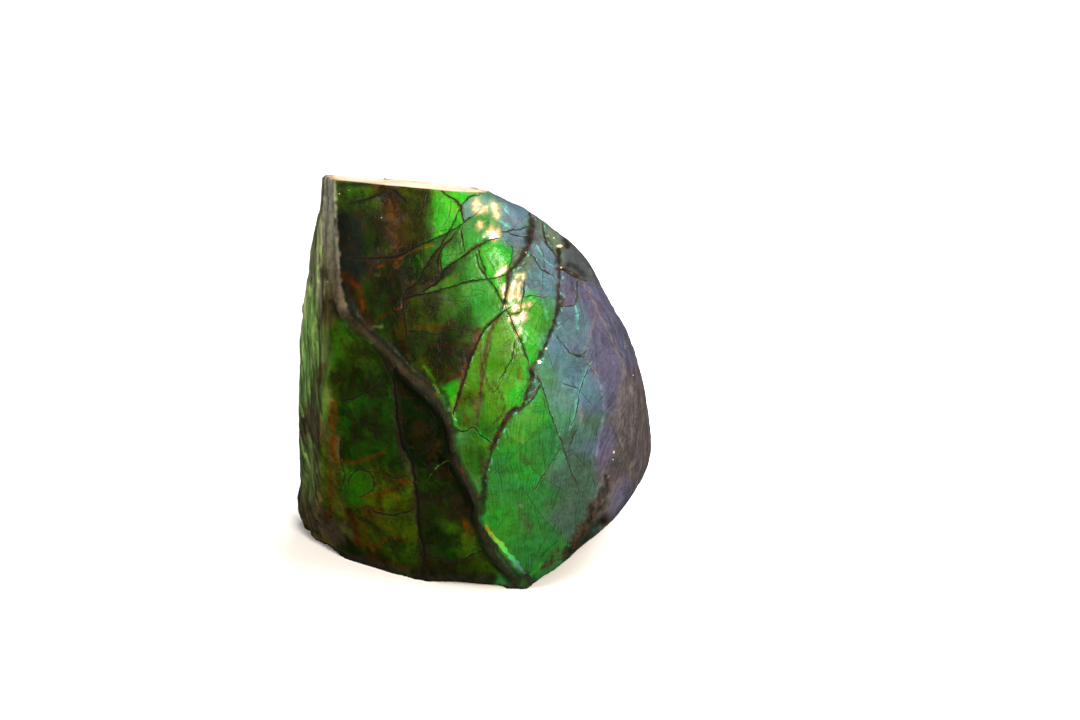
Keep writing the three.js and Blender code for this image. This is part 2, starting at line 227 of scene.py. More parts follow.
# Lines on the front: half width in mm, then across and up.
openCracks = [
    (0.30, [(11.4, 45), (11.4, 42), (11.2, 39.3), (11, 37), (10, 34), (8.8, 31.4), (7.5, 29.5),
            (7.7, 28.3), (6.8, 26), (6.2, 24.2), (4.9, 23.8), (3.3, 21.2), (2.2, 18.8), (1.1, 14.4)]),
    (0.34, [(7.3, 50.7), (7.7, 48.5), (7.2, 46.4), (6, 44.3), (4.4, 42.4), (4.2, 40.3), (3.7, 38)]),
    (0.28, [(-11.4, 28.3), (-10.9, 25.3), (-10.3, 20), (-9, 17), (-8.2, 13), (-7.8, 7.6), (-7.1, 4.2),
            (-7.6, 1.5)]),
]
fineCracks = [
    (0.10, [(-17.8, 44.5), (-11, 44.7), (-7.9, 46.2), (-3.8, 48.1), (-0.3, 50.3), (0.5, 51)]),
    (0.10, [(-1.9, 52), (-3.8, 48), (-6, 44.7), (-7.9, 41.5), (-9.7, 40), (-9.8, 38.4)]),
    (0.12, [(-5, 54), (-3.5, 52.8), (-2.2, 51.8), (-1.8, 49.5)]),
    (0.09, [(0.3, 53.2), (-0.8, 52.8), (-1.8, 52)]),
    (0.15, [(-7.2, 40), (-4.6, 41.8), (-4.5, 42.8), (-1.5, 45), (1.5, 46.9), (3.3, 47.3)]),
    (0.07, [(-4.6, 42.8), (-4.9, 44), (-4.8, 45.4)]),
    (0.12, [(-9.5, 33.5), (-9.8, 38.2), (-8.7, 39.2), (-4.2, 40.3), (-0.1, 41.5), (3.3, 42), (4.4, 42.7)]),
    (0.11, [(0.5, 45.7), (0.8, 44), (1.5, 41.9), (3.3, 39.3), (4.1, 37.8)]),
    (0.15, [(4.1, 37.5), (1.9, 35.6), (0.3, 33.5), (-1.4, 29), (-3.1, 23.5)]),
    (0.10, [(4.2, 37.3), (5, 35.5), (6.7, 31.8), (7.2, 30.3)]),
    (0.11, [(3.3, 48), (5.3, 48.4), (7.3, 48.8)]),
    (0.08, [(4.4, 48), (5.7, 47.6), (7.3, 47.5)]),
    (0.09, [(8.8, 27.3), (7.8, 25.6), (6.4, 24)]),
    (0.07, [(7.8, 28.3), (8.8, 27.6), (10, 23.7), (11.3, 20.5), (12.5, 17), (14, 13)]),
    (0.05, [(11.7, 18.9), (9.8, 16), (7.8, 12.8)]),
    (0.08, [(5.4, 33.5), (4.9, 31), (3.3, 28)]),
    (0.09, [(-2.4, 21.2), (-1.4, 20.9), (-0.3, 21.5), (0.6, 20.4), (2.3, 19.4)]),
    (0.12, [(11.4, 43.2), (13.9, 41.9), (15, 41.6)]),
    (0.12, [(9.4, 46.6), (10.7, 45), (11.4, 44)]),
    (0.09, [(11.4, 38), (12.6, 38), (13.6, 38.5), (14, 42)]),
    (0.05, [(15.5, 30), (14.2, 26.7), (13.7, 23.7), (13, 21.8)]),
    (0.05, [(11, 34), (12.8, 31.8), (14.9, 31.2)]),
    (0.05, [(14, 26.9), (11.8, 27.5)]),
    (0.08, [(13.5, 21.2), (12.9, 18.9)]),
    (0.09, [(-18.2, 25), (-14.4, 26.4), (-12.4, 28.7)]),
    (0.12, [(-17, 52), (-15, 52.5), (-13, 53.3)]),
    (0.16, [(-11.4, 54), (-10.3, 52.9), (-9.5, 52.2)]),
    (0.11, [(-14.8, 10.8), (-12.5, 9.6), (-9.8, 9.9), (-8.2, 10.6)]),
    (0.13, [(-3, 47.8), (-3.7, 46.9), (-4.4, 46.2), (-5, 44.9), (-5.2, 43.6)]),
    (0.08, [(-1.9, 48.4), (-1.8, 47), (-1.5, 45.6)]),
    (0.08, [(0, 45.2), (0.3, 43.9), (0.8, 42.8), (1.3, 42)]),
    (0.1, [(6.7, 41.4), (6.5, 39.8), (6.2, 38.4), (6, 37.2), (4.9, 37), (4.3, 36.7)]),
    (0.08, [(7.2, 45.2), (8, 44.5), (8.8, 43.2), (9.8, 42.6), (10.6, 42.2), (11.2, 41)]),
    (0.12, [(9.2, 49.4), (9.4, 47.8), (9.8, 46.4), (10.6, 45.3)]),
    (0.07, [(13.2, 31.5), (14, 31), (14.6, 31.5), (15, 32)]),
    (0.08, [(-17.5, 13.4), (-16.9, 15), (-15.7, 15.8), (-14.4, 15.3), (-13.9, 14), (-14.4, 12.8),
            (-15.6, 12.2)]),
    (0.08, [(-18.4, 20.4), (-18.6, 17.6), (-18, 15.2), (-18.3, 13)]),
    (0.07, [(-13.4, 17.4), (-12.8, 15.6), (-11.2, 14.6), (-9.6, 14.8), (-8.6, 13.9)]),
    (0.07, [(-7.4, 12), (-6, 11.4), (-4.6, 11.9), (-3.6, 12.8)]),
    (0.07, [(-7.2, 16), (-5.6, 16.8), (-4.4, 16.2), (-3.4, 16.9)]),
    (0.08, [(-7.3, 4.4), (-5, 3.6), (-2.6, 3.4), (0, 4.4), (1, 4.6)]),
    (0.07, [(-6.2, 24.4), (-5.4, 21.8), (-6, 19.4), (-7.6, 17.8)]),
    (0.05, [(-9.9, 34.6), (-7.6, 34.6), (-5.2, 34.2), (-3.4, 34.8), (-2, 34.4)]),
    (0.05, [(6.4, 39.2), (7.6, 39.5), (8.8, 39.3), (10, 39.4)]),
    (0.05, [(4.2, 46.9), (4.9, 46), (5, 44.6), (4.5, 43.2)]),
]
faintCracks = [  # drawn with the hairlines
    (0.06, [(3, 23.6), (2.2, 26.4), (1.2, 28.6)]),
    (0.07, [(0.6, 13.4), (2.4, 15.2), (5.4, 18), (9.6, 22.4)]),
    (0.07, [(5.2, 19.6), (8.4, 15.2), (12.6, 12.6)]),
    (0.06, [(6.2, 13.4), (9, 9.4), (11.8, 6.4)]),
    (0.07, [(13, 18.4), (15.6, 15.2), (16.4, 12.4)]),
    (0.06, [(2, 6.6), (4.2, 9.6), (5.8, 12.4)]),
    (0.06, [(7.4, 2.8), (9.4, 6.4), (12, 9.6)]),
    (0.06, [(5.2, 37), (6.4, 34.6), (8.2, 32.6)]),
    (0.06, [(-3.4, 52.8), (-3.6, 50.6), (-4.6, 48.8)]),
    (0.07, [(-8.6, 43.6), (-6.4, 42.8), (-4.8, 43.6), (-3.2, 45.4)]),
    (0.07, [(-3, 38.8), (-1.2, 36.6), (0.4, 36.4), (1.8, 38)]),
    (0.07, [(15.2, 40), (17.4, 37.6), (19, 34.2)]),
    (0.07, [(16.4, 25.8), (15.4, 22.4), (14.4, 20.2)]),
]
rustVeins = [  # stains
    (0.5, [(4, 37), (1.6, 35), (0, 32.5), (-1.8, 28), (-3.1, 23.5)]),
    (0.35, [(1.5, 33.7), (0.7, 30), (0.1, 25.3), (-0.5, 21.2)]),
    (0.4, [(4.9, 23.6), (3, 20.6), (2, 18.6)]),
    (0.7, [(-19.6, 25.5), (-19.4, 18), (-19.7, 11.5)]),
    (0.9, [(-11.4, 53), (-11.7, 48), (-10.8, 43)]),
    (0.4, [(-9.6, 41.2), (-5.5, 41), (-2, 42.3)]),
    (0.4, [(-2.4, 9), (-1.3, 7.5), (-0.8, 5.8)]),
]
brightEdges = [
    (0.1, [(-6.3, 15), (-4.9, 16.5), (-3.9, 17)]),
    (0.12, [(3.3, 52), (4.6, 50.5)]),
    (0.12, [(3.4, 49.6), (4.8, 48.3)]),
    (0.13, [(13.5, 38.2), (13.9, 36.4), (14, 34.5)]),
    (0.11, [(8, 46.4), (9.2, 44.6), (10.6, 43.4)]),
    (0.14, [(-21.5, 44), (-22.2, 40), (-22.2, 37.5), (-22, 33.5)]),
    (0.14, [(-23.3, 32.8), (-23, 30), (-23.7, 25.6), (-23.3, 23.3)]),
    (0.14, [(-23.9, 18.9), (-23.2, 17), (-22.4, 15.5)]),
    (0.08, [(6.6, 0.9), (6.8, 1.5), (7.4, 1.5), (7.6, 0.9), (7.2, 0.5), (6.7, 0.7)]),
]
crestLines = [  # the raised ridges
    (0.42, [(-18.2, 37.4), (-16.6, 35.6), (-14.4, 33.6), (-12.4, 31.8), (-11.4, 29.6)]),
    (0.42, [(-16.6, 35.8), (-13.6, 33), (-11, 30.6), (-9.4, 28.8), (-7.6, 27.3), (-5.6, 25.7),
            (-4.3, 23.5), (-3.5, 21)]),
    (0.4, [(-3.5, 21), (-3.3, 18.8), (-2.4, 16.6), (-1.2, 14.2), (-0.4, 12.4), (0, 10.6)]),
    (0.48, [(0, 10.6), (0.1, 8.8), (1.2, 6.2), (3, 3.4), (5.4, 0.6)]),
    (0.8, [(-20, 56), (-20, 50), (-19.7, 46), (-19.3, 42), (-18.7, 39), (-17.9, 37)]),
    (0.5, [(6.9, 1.3), (7.3, 1)]),
]
lipLines = [  # the bright lip beside the long ridge's foot
    (0.3, [(1.3, 8.2), (2, 7.1), (3.2, 5.7), (4.6, 4.1), (5.8, 2.7), (6.7, 1.6)]),
]
streakBands = [  # brown streaks above the broken lower edge
    (0.8, [(9, 2.4), (11.2, 4), (13.2, 6), (14.8, 8.2), (16.4, 10.4), (17.6, 12.8), (17.9, 14.6)]),
]

# Colours of the nacre, before its mottling. Their brightness is partly painted light: darkest on the left
# as painted shade, where the front turns from the light, and brightest in the middle as painted sheen,
# where the light reflects towards the camera.
nacre = {
    "pitch": (0.0009, 0.0046, 0.0002),
    "ink": (0.0028, 0.0046, 0.0030),
    "moss": (0.0045, 0.0106, 0.0004),
    "olive": (0.0140, 0.0200, 0.0007),
    "fern": (0.0145, 0.0370, 0.0022),
    "grass": (0.0250, 0.0980, 0.0080),
    "leaf": (0.0100, 0.0560, 0.0024),
    "pine": (0.0380, 0.0740, 0.0510),
    "emerald": (0.0185, 0.1080, 0.0210),
    "green": (0.0255, 0.1540, 0.0175),
    "lime": (0.0260, 0.2180, 0.0130),
    "straw": (0.0410, 0.1380, 0.0080),
    "jade": (0.0400, 0.1260, 0.0600),
    "teal": (0.0520, 0.1120, 0.0920),
    "slate": (0.0660, 0.1080, 0.1270),
    "blue": (0.0620, 0.0920, 0.1220),
    "flint": (0.0450, 0.0500, 0.0550),
    "violet": (0.0670, 0.0640, 0.1040),
    "plum": (0.0820, 0.0700, 0.1100),
    "dusk": (0.0800, 0.0700, 0.0780),
    "amber": (0.0140, 0.0096, 0.0003),
    "khaki": (0.0265, 0.0465, 0.0018),
    "bottle": (0.0048, 0.0190, 0.0010),
    "sage": (0.0340, 0.1250, 0.0280),
    "neon": (0.0240, 0.2060, 0.0105),
    "ember": (0.0900, 0.0120, 0.0010),
    "brick": (0.0320, 0.0070, 0.0008),
    "copper": (0.0800, 0.0260, 0.0015),
    "bark": (0.0400, 0.0310, 0.0210),
    "blackAndShade": (0.0050, 0.0050, 0.0030),
    "ash": (0.2100, 0.1900, 0.1400),
    "sprout": (0.2600, 0.4400, 0.0900),
    "tan": (0.3600, 0.2600, 0.1600),
    "mud": (0.0630, 0.0580, 0.0600),
    "reed": (0.1450, 0.1530, 0.0720),
    "willow": (0.1020, 0.1900, 0.0390),
    "sedge": (0.0720, 0.1040, 0.0210),
    "loam": (0.0540, 0.0410, 0.0120),
    "pewter": (0.0820, 0.1110, 0.0740),
    "fawn": (0.1500, 0.1150, 0.0900),
    "cyan": (0.1400, 0.4400, 0.4200),
    "azure": (0.0540, 0.1180, 0.1500),
    "lavender": (0.2000, 0.2000, 0.3400),
}

# How much brown film each colour takes.
murky = {"pitch": 1, "ink": 0.6, "moss": 1, "olive": 1, "fern": 0.8, "grass": 0.4, "leaf": 0.35,
         "amber": 1, "khaki": 0.7, "bottle": 0.8, "brick": 0.7, "copper": 0.5, "bark": 0.6, "blackAndShade": 1}

# Where each colour is centred on the front: across, up and radius.
patches = {
    # pitch: the nacre's own dark green, deepened here as painted shadow along the lower left side of the
    # long ridge.
    "pitch": [(-9.5, 26, 1.2), (-8.3, 21.5, 1.8), (-6, 18.5, 1.6), (-4, 16.5, 1.2), (-1.8, 12, 1.6),
              (-6.6, 24.6, 1)],
    # ink: painted shadow to the right of the raised step where the left strip begins.
    "ink": [(-17, 48.8, 1.3), (-16.8, 46.2, 1.5), (-16, 44.2, 1.3)],
    "moss": [(-13.8, 48.4, 1.6), (-13.6, 46.6, 1.4), (-12, 40.6, 2), (-3.7, 32, 1.8), (-8, 33.4, 1.4),
             (-5.8, 12.6, 1.8), (-7, 3.4, 1.4), (-14.6, 3.4, 0.8), (-7.4, 8.2, 1), (-17.4, 27.6, 1.4),
             (-3.4, 10, 1.4)],
    "olive": [(-8.6, 51.4, 1.6), (-8.4, 48.6, 1.4), (-7.4, 42.4, 1.2), (-5.6, 29.6, 1.4), (-13, 42.4, 1.2),
              (-7.6, 36.8, 1.6), (-5.4, 34.4, 1.2)],
    "khaki": [(-12.6, 9.4, 2), (-14, 7.2, 1.2), (-10.6, 10.8, 1.4), (-7.8, 38, 0.9), (-1.6, 25.4, 1),
              (-12.4, 14.8, 1.2), (-10, 8.4, 1)],
    "bottle": [(-15.4, 23, 2.4), (-13, 24.4, 1.4), (-12.2, 20.8, 1.4), (-15.4, 19.4, 1.6), (-4.6, 6.6, 1.4),
               (-13.2, 31, 1), (-9.4, 44, 0.8), (-15, 28.6, 1.2)],
    "fern": [(-6.4, 44.4, 1), (-1.6, 34, 1.4), (-3.2, 7.4, 1.6), (-15, 51.6, 1), (-4.6, 37.4, 1.4),
             (-16.8, 33.4, 1.2), (-15.2, 31.4, 1.3), (-10.6, 5.4, 1), (-8.8, 4.6, 0.9), (-13, 45.6, 0.7),
             (-17.2, 52.8, 0.8)],
    "grass": [(-0.6, 24, 0.8), (-0.4, 18.6, 1.5), (1, 21.6, 0.8), (-4.4, 41.2, 1), (-2, 46.4, 1)],
    "leaf": [(-3, 39.4, 1), (-15.9, 14.1, 1.5), (-2.2, 43.4, 1), (-1.6, 37, 0.9), (-5.6, 46.4, 0.7)],
    "pine": [(14.4, 17, 1.4), (12.4, 14.4, 1.8), (14.6, 12.4, 1.4), (12.4, 9.6, 1.6), (13.2, 20.4, 0.9),
             (16.2, 21.6, 0.8), (13.6, 7.6, 1)],
    "emerald": [(8.8, 18.6, 1.6), (5.5, 12.6, 1.6), (3.2, 14.6, 1), (8.8, 12, 1.8), (7.2, 9, 1.4),
                (9.4, 6, 1.4), (6.4, 6, 1.4), (11, 4.8, 0.6)],
    "green": [(-0.9, 47.4, 0.8), (-0.4, 43.4, 1), (0.4, 39.8, 1.6), (1, 37, 1), (5.5, 21.4, 2),
              (5.4, 18.4, 1.4), (4.4, 10, 1.2), (6.8, 14.6, 1.2), (8.6, 24.6, 0.9), (4.4, 6.6, 0.6)],
    "lime": [(-4, 51.4, 1.8), (-4.8, 49.4, 1.2), (2.9, 44, 1.6), (3, 40.6, 0.9), (-2.2, 53, 0.8),
             (5, 26, 0.9)],
    "neon": [(7.2, 33.6, 1), (7.4, 31.6, 0.7), (-3.4, 25.4, 0.6)],
    "straw": [(3.4, 34.4, 1.2), (4.6, 31.4, 1.8), (3.2, 28, 1.6), (3, 24.6, 1.2), (1.6, 22.6, 0.8),
              (-2, 26.6, 0.5)],
    "sage": [(-0.2, 48.8, 0.9), (-1, 19.6, 0.6), (8.2, 36.8, 1.1)],
    "pewter": [(10.4, 48, 0.9), (9, 47.8, 0.6), (10.6, 46, 0.5), (6.4, 43.6, 0.4), (5.2, 45.4, 0.4)],
    "jade": [(9.4, 28.6, 1), (9.8, 25, 1.2), (11.4, 22, 1.4), (11.6, 18, 1), (9.4, 38.4, 0.6),
             (9.4, 30.4, 0.6)],
    "teal": [(11.4, 25.6, 1.6), (11.6, 30, 1.4), (14.4, 20.5, 1), (-1, 51.6, 0.6)],
    "slate": [(5.8, 50.2, 1.2), (5.2, 47, 0.8), (8.6, 41.6, 1.6), (12.4, 34.4, 1.2), (9.2, 45.4, 0.8)],
    "blue": [(13.8, 32.2, 1.2), (14.2, 28.4, 1.2), (15.8, 25.4, 1.4), (15.2, 18.6, 1.2), (10.2, 43.2, 0.9),
             (8.2, 47.6, 1), (12.4, 36.6, 0.7), (11.4, 32.6, 0.8)],
    "flint": [(13.6, 44.6, 1.9), (15, 43.4, 1.1)],
    "violet": [(12.8, 40.8, 1.1), (17, 38.5, 1.8), (18.5, 34.8, 2), (17, 31.4, 1.5), (20, 30.4, 1.8),
               (18.6, 26.4, 1), (17.5, 20.6, 0.7), (20.4, 12.6, 0.6)],
    "plum": [(17.2, 17.9, 0.6), (12.4, 39.4, 0.5)],
    "dusk": [(20.6, 26, 1.2), (22.4, 22.5, 1.8), (19.6, 22.4, 1), (22, 17, 1.6), (18.5, 14.6, 1),
             (16.8, 11.6, 0.8), (22.8, 28.4, 0.6)],
    "mud": [(20.6, 21.8, 1.2), (19.4, 16.4, 0.9), (20.8, 24.4, 0.7)],
    "amber": [(-11.4, 51.6, 1), (-11, 48.6, 0.9), (-9.8, 45.4, 0.6)],
}
patchesOnStrip = {
    "reed": [(-21, 52.6, 0.8), (-21.6, 47, 0.8), (-21.9, 43, 0.7), (-21.2, 40.6, 0.4)],
    "willow": [(-22.4, 38, 0.8), (-23.2, 31, 0.9), (-23.6, 26.6, 0.8), (-22.7, 34.6, 0.5)],
    "sedge": [(-21.2, 30, 0.8), (-21, 26, 0.8), (-22.5, 18, 0.8), (-22, 13.6, 0.9), (-21.2, 34.6, 0.5)],
    "loam": [(-23, 22, 0.8), (-21.3, 20.6, 0.7), (-21.4, 9.6, 1), (-20.9, 12, 0.5), (-20.8, 37.6, 0.4)],
}

# Strokes of colour laid over those: half width in mm, strength, then across and up.
washes = [
    # Black marks and painted shadow: most strokes are dark cracks and spots, and the ones noted below are
    # painted shadow.
    ("blackAndShade", [
        (0.9, 0.5, [(-20.6, 9.8), (-19.6, 7.8), (-18.2, 6.4)]),
        (0.35, 0.8, [(-18.4, 54.5), (-16.6, 54.5), (-14.6, 54.7)]),
        (0.2, 0.7, [(-16.8, 52.1), (-15, 52.3), (-13.6, 53.1), (-12.8, 53)]),
        # painted shadow to the right of the raised step where the left strip begins
        (0.5, 0.6, [(-17.4, 50), (-17, 47), (-16.4, 44)]),
        (0.25, 0.6, [(-15, 44.8), (-12, 44.9), (-10.8, 45.1)]),
        (0.35, 0.7, [(-18, 41), (-17.4, 39.8), (-16.8, 38.6), (-16.4, 37)]),
        (0.4, 0.5, [(-9.4, 39.2), (-9.3, 37), (-9, 34.6), (-8.6, 33)]),
        (0.4, 0.5, [(-13.8, 38.2), (-13, 37.8)]),
        # painted shadow beside the long ridge
        (0.5, 0.5, [(-14.2, 34.4), (-12.6, 33), (-11.2, 32)]),
        (0.5, 0.6, [(-9, 40), (-7, 41.2), (-5, 42), (-3, 43.4)]),
        (0.35, 0.5, [(-10.2, 52.3), (-9.4, 52.3), (-8.8, 52.7)]),
        (0.5, 0.5, [(-6, 33.4), (-4.6, 32.6), (-3.2, 31.4)]),
        # painted shadow beside the long ridge
        (0.45, 0.6, [(-8, 27.2), (-6.4, 25.6), (-5.4, 24)]),
        (0.4, 0.8, [(-10.6, 26.4), (-10.3, 22), (-9.7, 18.4)]),
        # painted shadow beside the long ridge
        (0.4, 0.6, [(-8.4, 29.8), (-6.6, 28), (-5, 26.6), (-4, 25.6), (-3.6, 23.4), (-2.6, 21)]),
        (0.5, 0.5, [(-3.6, 13.6), (-3.2, 12), (-2.4, 10.6)]),
        (0.35, 0.5, [(-7.6, 12.4), (-6, 11.8), (-4.4, 12)]),
        (0.5, 0.6, [(1.2, 14.6), (1, 12.4), (0.9, 10)]),
        (0.6, 0.7, [(-8.4, 1.8), (-6, 1.4), (-2, 1.2), (2, 0.9)]),
        # painted shadow in the hollow between the long ridge and its lip
        (0.3, 0.6, [(1, 7.6), (3.4, 4.4), (6, 1)]),
        (0.35, 0.6, [(-7.8, 6), (-7.3, 4.2), (-7, 2.6)]),
        (0.45, 0.8, [(11.2, 45.6), (11.3, 44.2)]),
        (0.35, 0.8, [(12.2, 47), (12.4, 46.2)]),
        (0.45, 0.7, [(7.5, 49.6), (7.4, 48.2), (7.2, 47)]),
        (0.4, 0.5, [(12.6, 43.6), (13.8, 43.2), (14.6, 42.2)]),
        (0.25, 0.8, [(17, 9), (17.6, 8.7)]),
        (0.2, 0.5, [(-23.2, 22.6), (-23.1, 20.8)]),
        (0.25, 0.5, [(-20.4, 42.8), (-20.2, 41.8)]),
    ]),
    ("bark", [
        (0.9, 0.6, [(-21.6, 8.2), (-20, 7.6), (-18.6, 6)]),
        (0.5, 0.6, [(-13, 50.2), (-11, 49.6), (-9.6, 50)]),
        (0.45, 0.6, [(-18.2, 9), (-17.2, 7.6), (-16.8, 6.4)]),
        (0.5, 0.6, [(-19, 8.4), (-18.2, 7)]),
        (0.5, 0.5, [(-9.9, 18), (-9.2, 16.4), (-8.4, 15.4)]),
        (0.35, 0.6, [(7.5, 48.6), (7.3, 47), (6.6, 45.4), (5.6, 44)]),
        (0.3, 0.7, [(4.4, 43.2), (4.3, 41), (4.1, 38.6)]),
        (0.45, 0.8, [(7.4, 29.2), (8, 28.6), (8.3, 28)]),
        (0.3, 0.5, [(7.6, 27), (7.8, 26.4), (7, 24.8)]),
        (0.25, 0.5, [(0.5, 33), (0.7, 29), (0.5, 25), (0, 22)]),
        (0.4, 0.6, [(0.6, 17.6), (1.2, 16.4), (0.8, 15.4)]),
        (0.6, 0.35, [(6, 11), (6.4, 9.2), (7.2, 7.4)]),
        (0.5, 0.35, [(6.4, 17.4), (7.2, 16.6)]),
        (0.35, 0.5, [(9.4, 48.2), (10.2, 46.2), (11, 45)]),
        (0.5, 0.4, [(8, 49.6), (8.4, 48), (8.4, 46.6)]),
        (0.4, 0.4, [(6.4, 43.8), (5.8, 42.8), (5, 41.6)]),
        (0.3, 0.6, [(11.4, 39.6), (11.8, 38.6), (11.2, 37.2)]),
        (0.35, 0.5, [(-21.4, 28), (-22.3, 25.4), (-22.2, 22), (-21.8, 18.6), (-21.9, 16)]),
        (0.3, 0.5, [(-20.7, 43.6), (-21, 40), (-21.3, 37.4), (-21.2, 35)]),
    ]),
    ("brick", [
        (0.7, 0.55, [(-17.9, 42.2), (-16.8, 41.2), (-15.9, 40.2), (-15.5, 38.6), (-15.1, 36.8),
                     (-14.6, 35.4)]),
        (0.28, 0.7, [(-14.7, 44.1), (-13.5, 43.3), (-12.4, 43.8), (-11.4, 44.3)]),
        (0.3, 0.6, [(-13.6, 36.1), (-12, 37), (-10.5, 37.7), (-9.7, 38.6), (-8.9, 39.2)]),
        (0.35, 0.6, [(-11.2, 39.2), (-10.9, 39.4)]),
        (0.3, 0.6, [(-14, 54.3), (-12.8, 54.5), (-12, 54.3)]),
        (0.35, 0.5, [(-16.4, 50.5), (-15.8, 51)]),
        (0.4, 0.5, [(-11, 35), (-10.2, 33.6), (-9.6, 32)]),
        (0.3, 0.5, [(-8, 35.2), (-6, 35), (-4.2, 35.2), (-3, 35.8)]),
        (0.25, 0.5, [(-6, 32.6), (-4, 32.8), (-1.6, 32.9), (-0.4, 32.4)]),
        (0.25, 0.6, [(-4, 27.8), (-2.8, 28.4), (-1.8, 29.2)]),
        (0.3, 0.7, [(0.4, 35), (-0.2, 33), (-1, 30.6), (-1.8, 28.4), (-2.3, 26), (-2.9, 24)]),
        (0.2, 0.7, [(3.2, 36.6), (1.9, 34.4), (1.3, 32), (0.9, 29), (0.6, 26)]),
        (0.13, 0.6, [(2.1, 33.6), (1.6, 31.4), (1.2, 29), (1.6, 27.4), (2.4, 26.4)]),
        (0.14, 0.5, [(2.5, 27.8), (3.4, 25.8), (4, 24.6), (3.4, 23.2), (2.4, 22)]),
        (0.3, 0.8, [(5.2, 24.1), (4.2, 22.8), (3.4, 21.4), (2.9, 20.2), (2.4, 19)]),
        (0.3, 0.5, [(-5, 19.6), (-5.8, 18), (-6.6, 17.2)]),
        (0.4, 0.5, [(-13.6, 11.4), (-12.4, 12.6), (-10.8, 13.2), (-9.6, 14.4)]),
        (0.45, 0.7, [(-17.4, 10.2), (-16.8, 8.6), (-16.4, 7), (-15.9, 5.6)]),
        (0.45, 0.6, [(-15.2, 10.4), (-14, 10.2), (-12.8, 10.3)]),
        (0.4, 0.6, [(-14.6, 3.9), (-13, 3.4), (-11.4, 3), (-9.4, 2.4)]),
        (0.5, 0.5, [(-2, 9.4), (-1.2, 8.2), (-0.7, 7)]),
        (0.35, 0.6, [(-19.8, 16.4), (-20, 13), (-19.8, 9.6)]),
        (0.5, 0.35, [(-20.8, 30), (-21.2, 28)]),
        (0.22, 0.8, [(11.2, 43), (12.2, 43), (13.3, 42.4), (14, 42)]),
        (0.35, 0.5, [(15.6, 9.4), (14.4, 7.2), (13.2, 5.4), (12, 4.4)]),
        (0.8, 0.45, [(-17, 9.6), (-15.6, 7.6), (-14.6, 5.4)]),
        (0.8, 0.3, [(-14.6, 9.4), (-12.8, 9)]),
        (0.5, 0.4, [(-10.4, 36.6), (-9.4, 34.4)]),
    ]),
    ("ember", [
        (0.5, 0.3, [(-19.9, 14.6), (-19.8, 12), (-19.7, 9.8)]),
        (0.3, 0.3, [(-16.8, 41.2), (-16.2, 40.7), (-15.9, 40.2)]),
        (0.22, 0.7, [(-15.6, 38.6), (-15.3, 37.6)]),
        (0.16, 0.8, [(-13.4, 43.3), (-12.6, 43.6)]),
        (0.2, 0.9, [(-10.8, 44.2), (-10.2, 44.6)]),
        (0.18, 0.7, [(-10.8, 37.6), (-10.1, 37.9)]),
        (0.25, 0.9, [(-19.6, 24.8), (-19.2, 24.7)]),
        (0.26, 0.5, [(-18.2, 16.9), (-16.6, 16.7), (-15, 17.2), (-13.4, 17.8), (-12.4, 18.1)]),
        (0.2, 0.5, [(-15.6, 12.1), (-14, 12.3), (-12.2, 12.9), (-11.4, 13.3)]),
        (0.14, 0.9, [(-10.4, 14.2), (-9.6, 14), (-8.2, 13.9)]),
        (0.2, 0.5, [(-14.2, 4.7), (-12.8, 5.9), (-11.3, 6.8), (-10.2, 6.4), (-9.4, 6.2)]),
        (0.2, 0.8, [(-20.1, 13.1), (-19.7, 12.9)]),
        (0.16, 0.7, [(-20.3, 14.5), (-20.1, 14.2)]),
        (0.16, 0.8, [(-5.2, 26.1), (-4.9, 25.9)]),
        (0.18, 0.7, [(-9.4, 31.4), (-9, 31)]),
        (0.22, 0.8, [(-1.6, 8.6), (-1.2, 8)]),
        (0.16, 0.7, [(-2, 15.9), (-1.6, 15.4)]),
        (0.14, 0.8, [(0.2, 12.5), (0.4, 12.1)]),
        (0.12, 0.7, [(3.8, 22.2), (3.2, 21.2)]),
        (0.12, 0.6, [(-1.7, 22.1), (-1.5, 21.8)]),
    ]),
    ("copper", [
        (0.16, 0.9, [(-10, 44.8), (-8.8, 45.5), (-7.4, 45.9), (-5.8, 46.3)]),
        (0.45, 0.3, [(-12.2, 52.6), (-11.8, 50.6), (-11.4, 48), (-10.8, 46.6)]),
        (0.5, 0.2, [(-10.6, 51.8), (-10, 50), (-9.9, 47.6)]),
        (0.3, 0.4, [(-9.6, 40.6), (-9.8, 41.4)]),
        (0.3, 0.7, [(-19.5, 24), (-19.7, 22.8), (-19.3, 21.4)]),
        (0.3, 0.8, [(-19.4, 20), (-19.6, 18.6), (-19.2, 17.4), (-18.6, 17)]),
        (0.12, 0.6, [(0.6, 34.8), (0, 33.4), (-0.4, 32.2)]),
        (0.25, 0.4, [(-0.9, 32.4), (-1.2, 31.8)]),
        (0.3, 0.5, [(-1.6, 23.4), (-1.3, 22.4)]),
        (0.3, 0.4, [(-11, 12.4), (-10.4, 11.4)]),
        (0.25, 0.35, [(5.8, 29.6), (5.8, 28.4)]),
        (0.16, 0.5, [(1.4, 7.4), (1.1, 6.9)]),
    ]),
    ("khaki", [
        (0.7, 0.8, [(-20.8, 19), (-20.6, 16.4), (-20.4, 13.4), (-20.3, 10.6)]),
        (0.7, 0.7, [(-19, 16.8), (-18.9, 14), (-18.8, 11), (-18.7, 9)]),
        (0.8, 0.5, [(-9.8, 53), (-9, 51.4)]),
        (0.6, 0.5, [(-19.4, 29.4), (-19.2, 27), (-19.2, 25.6)]),
    ]),
    ("ink", [
        (0.8, 0.6, [(12.4, 3.8), (14.2, 5.8), (16, 7.8), (17.4, 9)]),
    ]),
    ("azure", [
        (1.8, 0.6, [(10.2, 33.2), (11.6, 30.6), (13.4, 28.4), (14.8, 26.2)]),
        (0.9, 0.5, [(8.6, 42.4), (9.6, 41), (10.6, 39.8)]),
        (0.8, 0.5, [(5.4, 51.2), (6.6, 50.4)]),
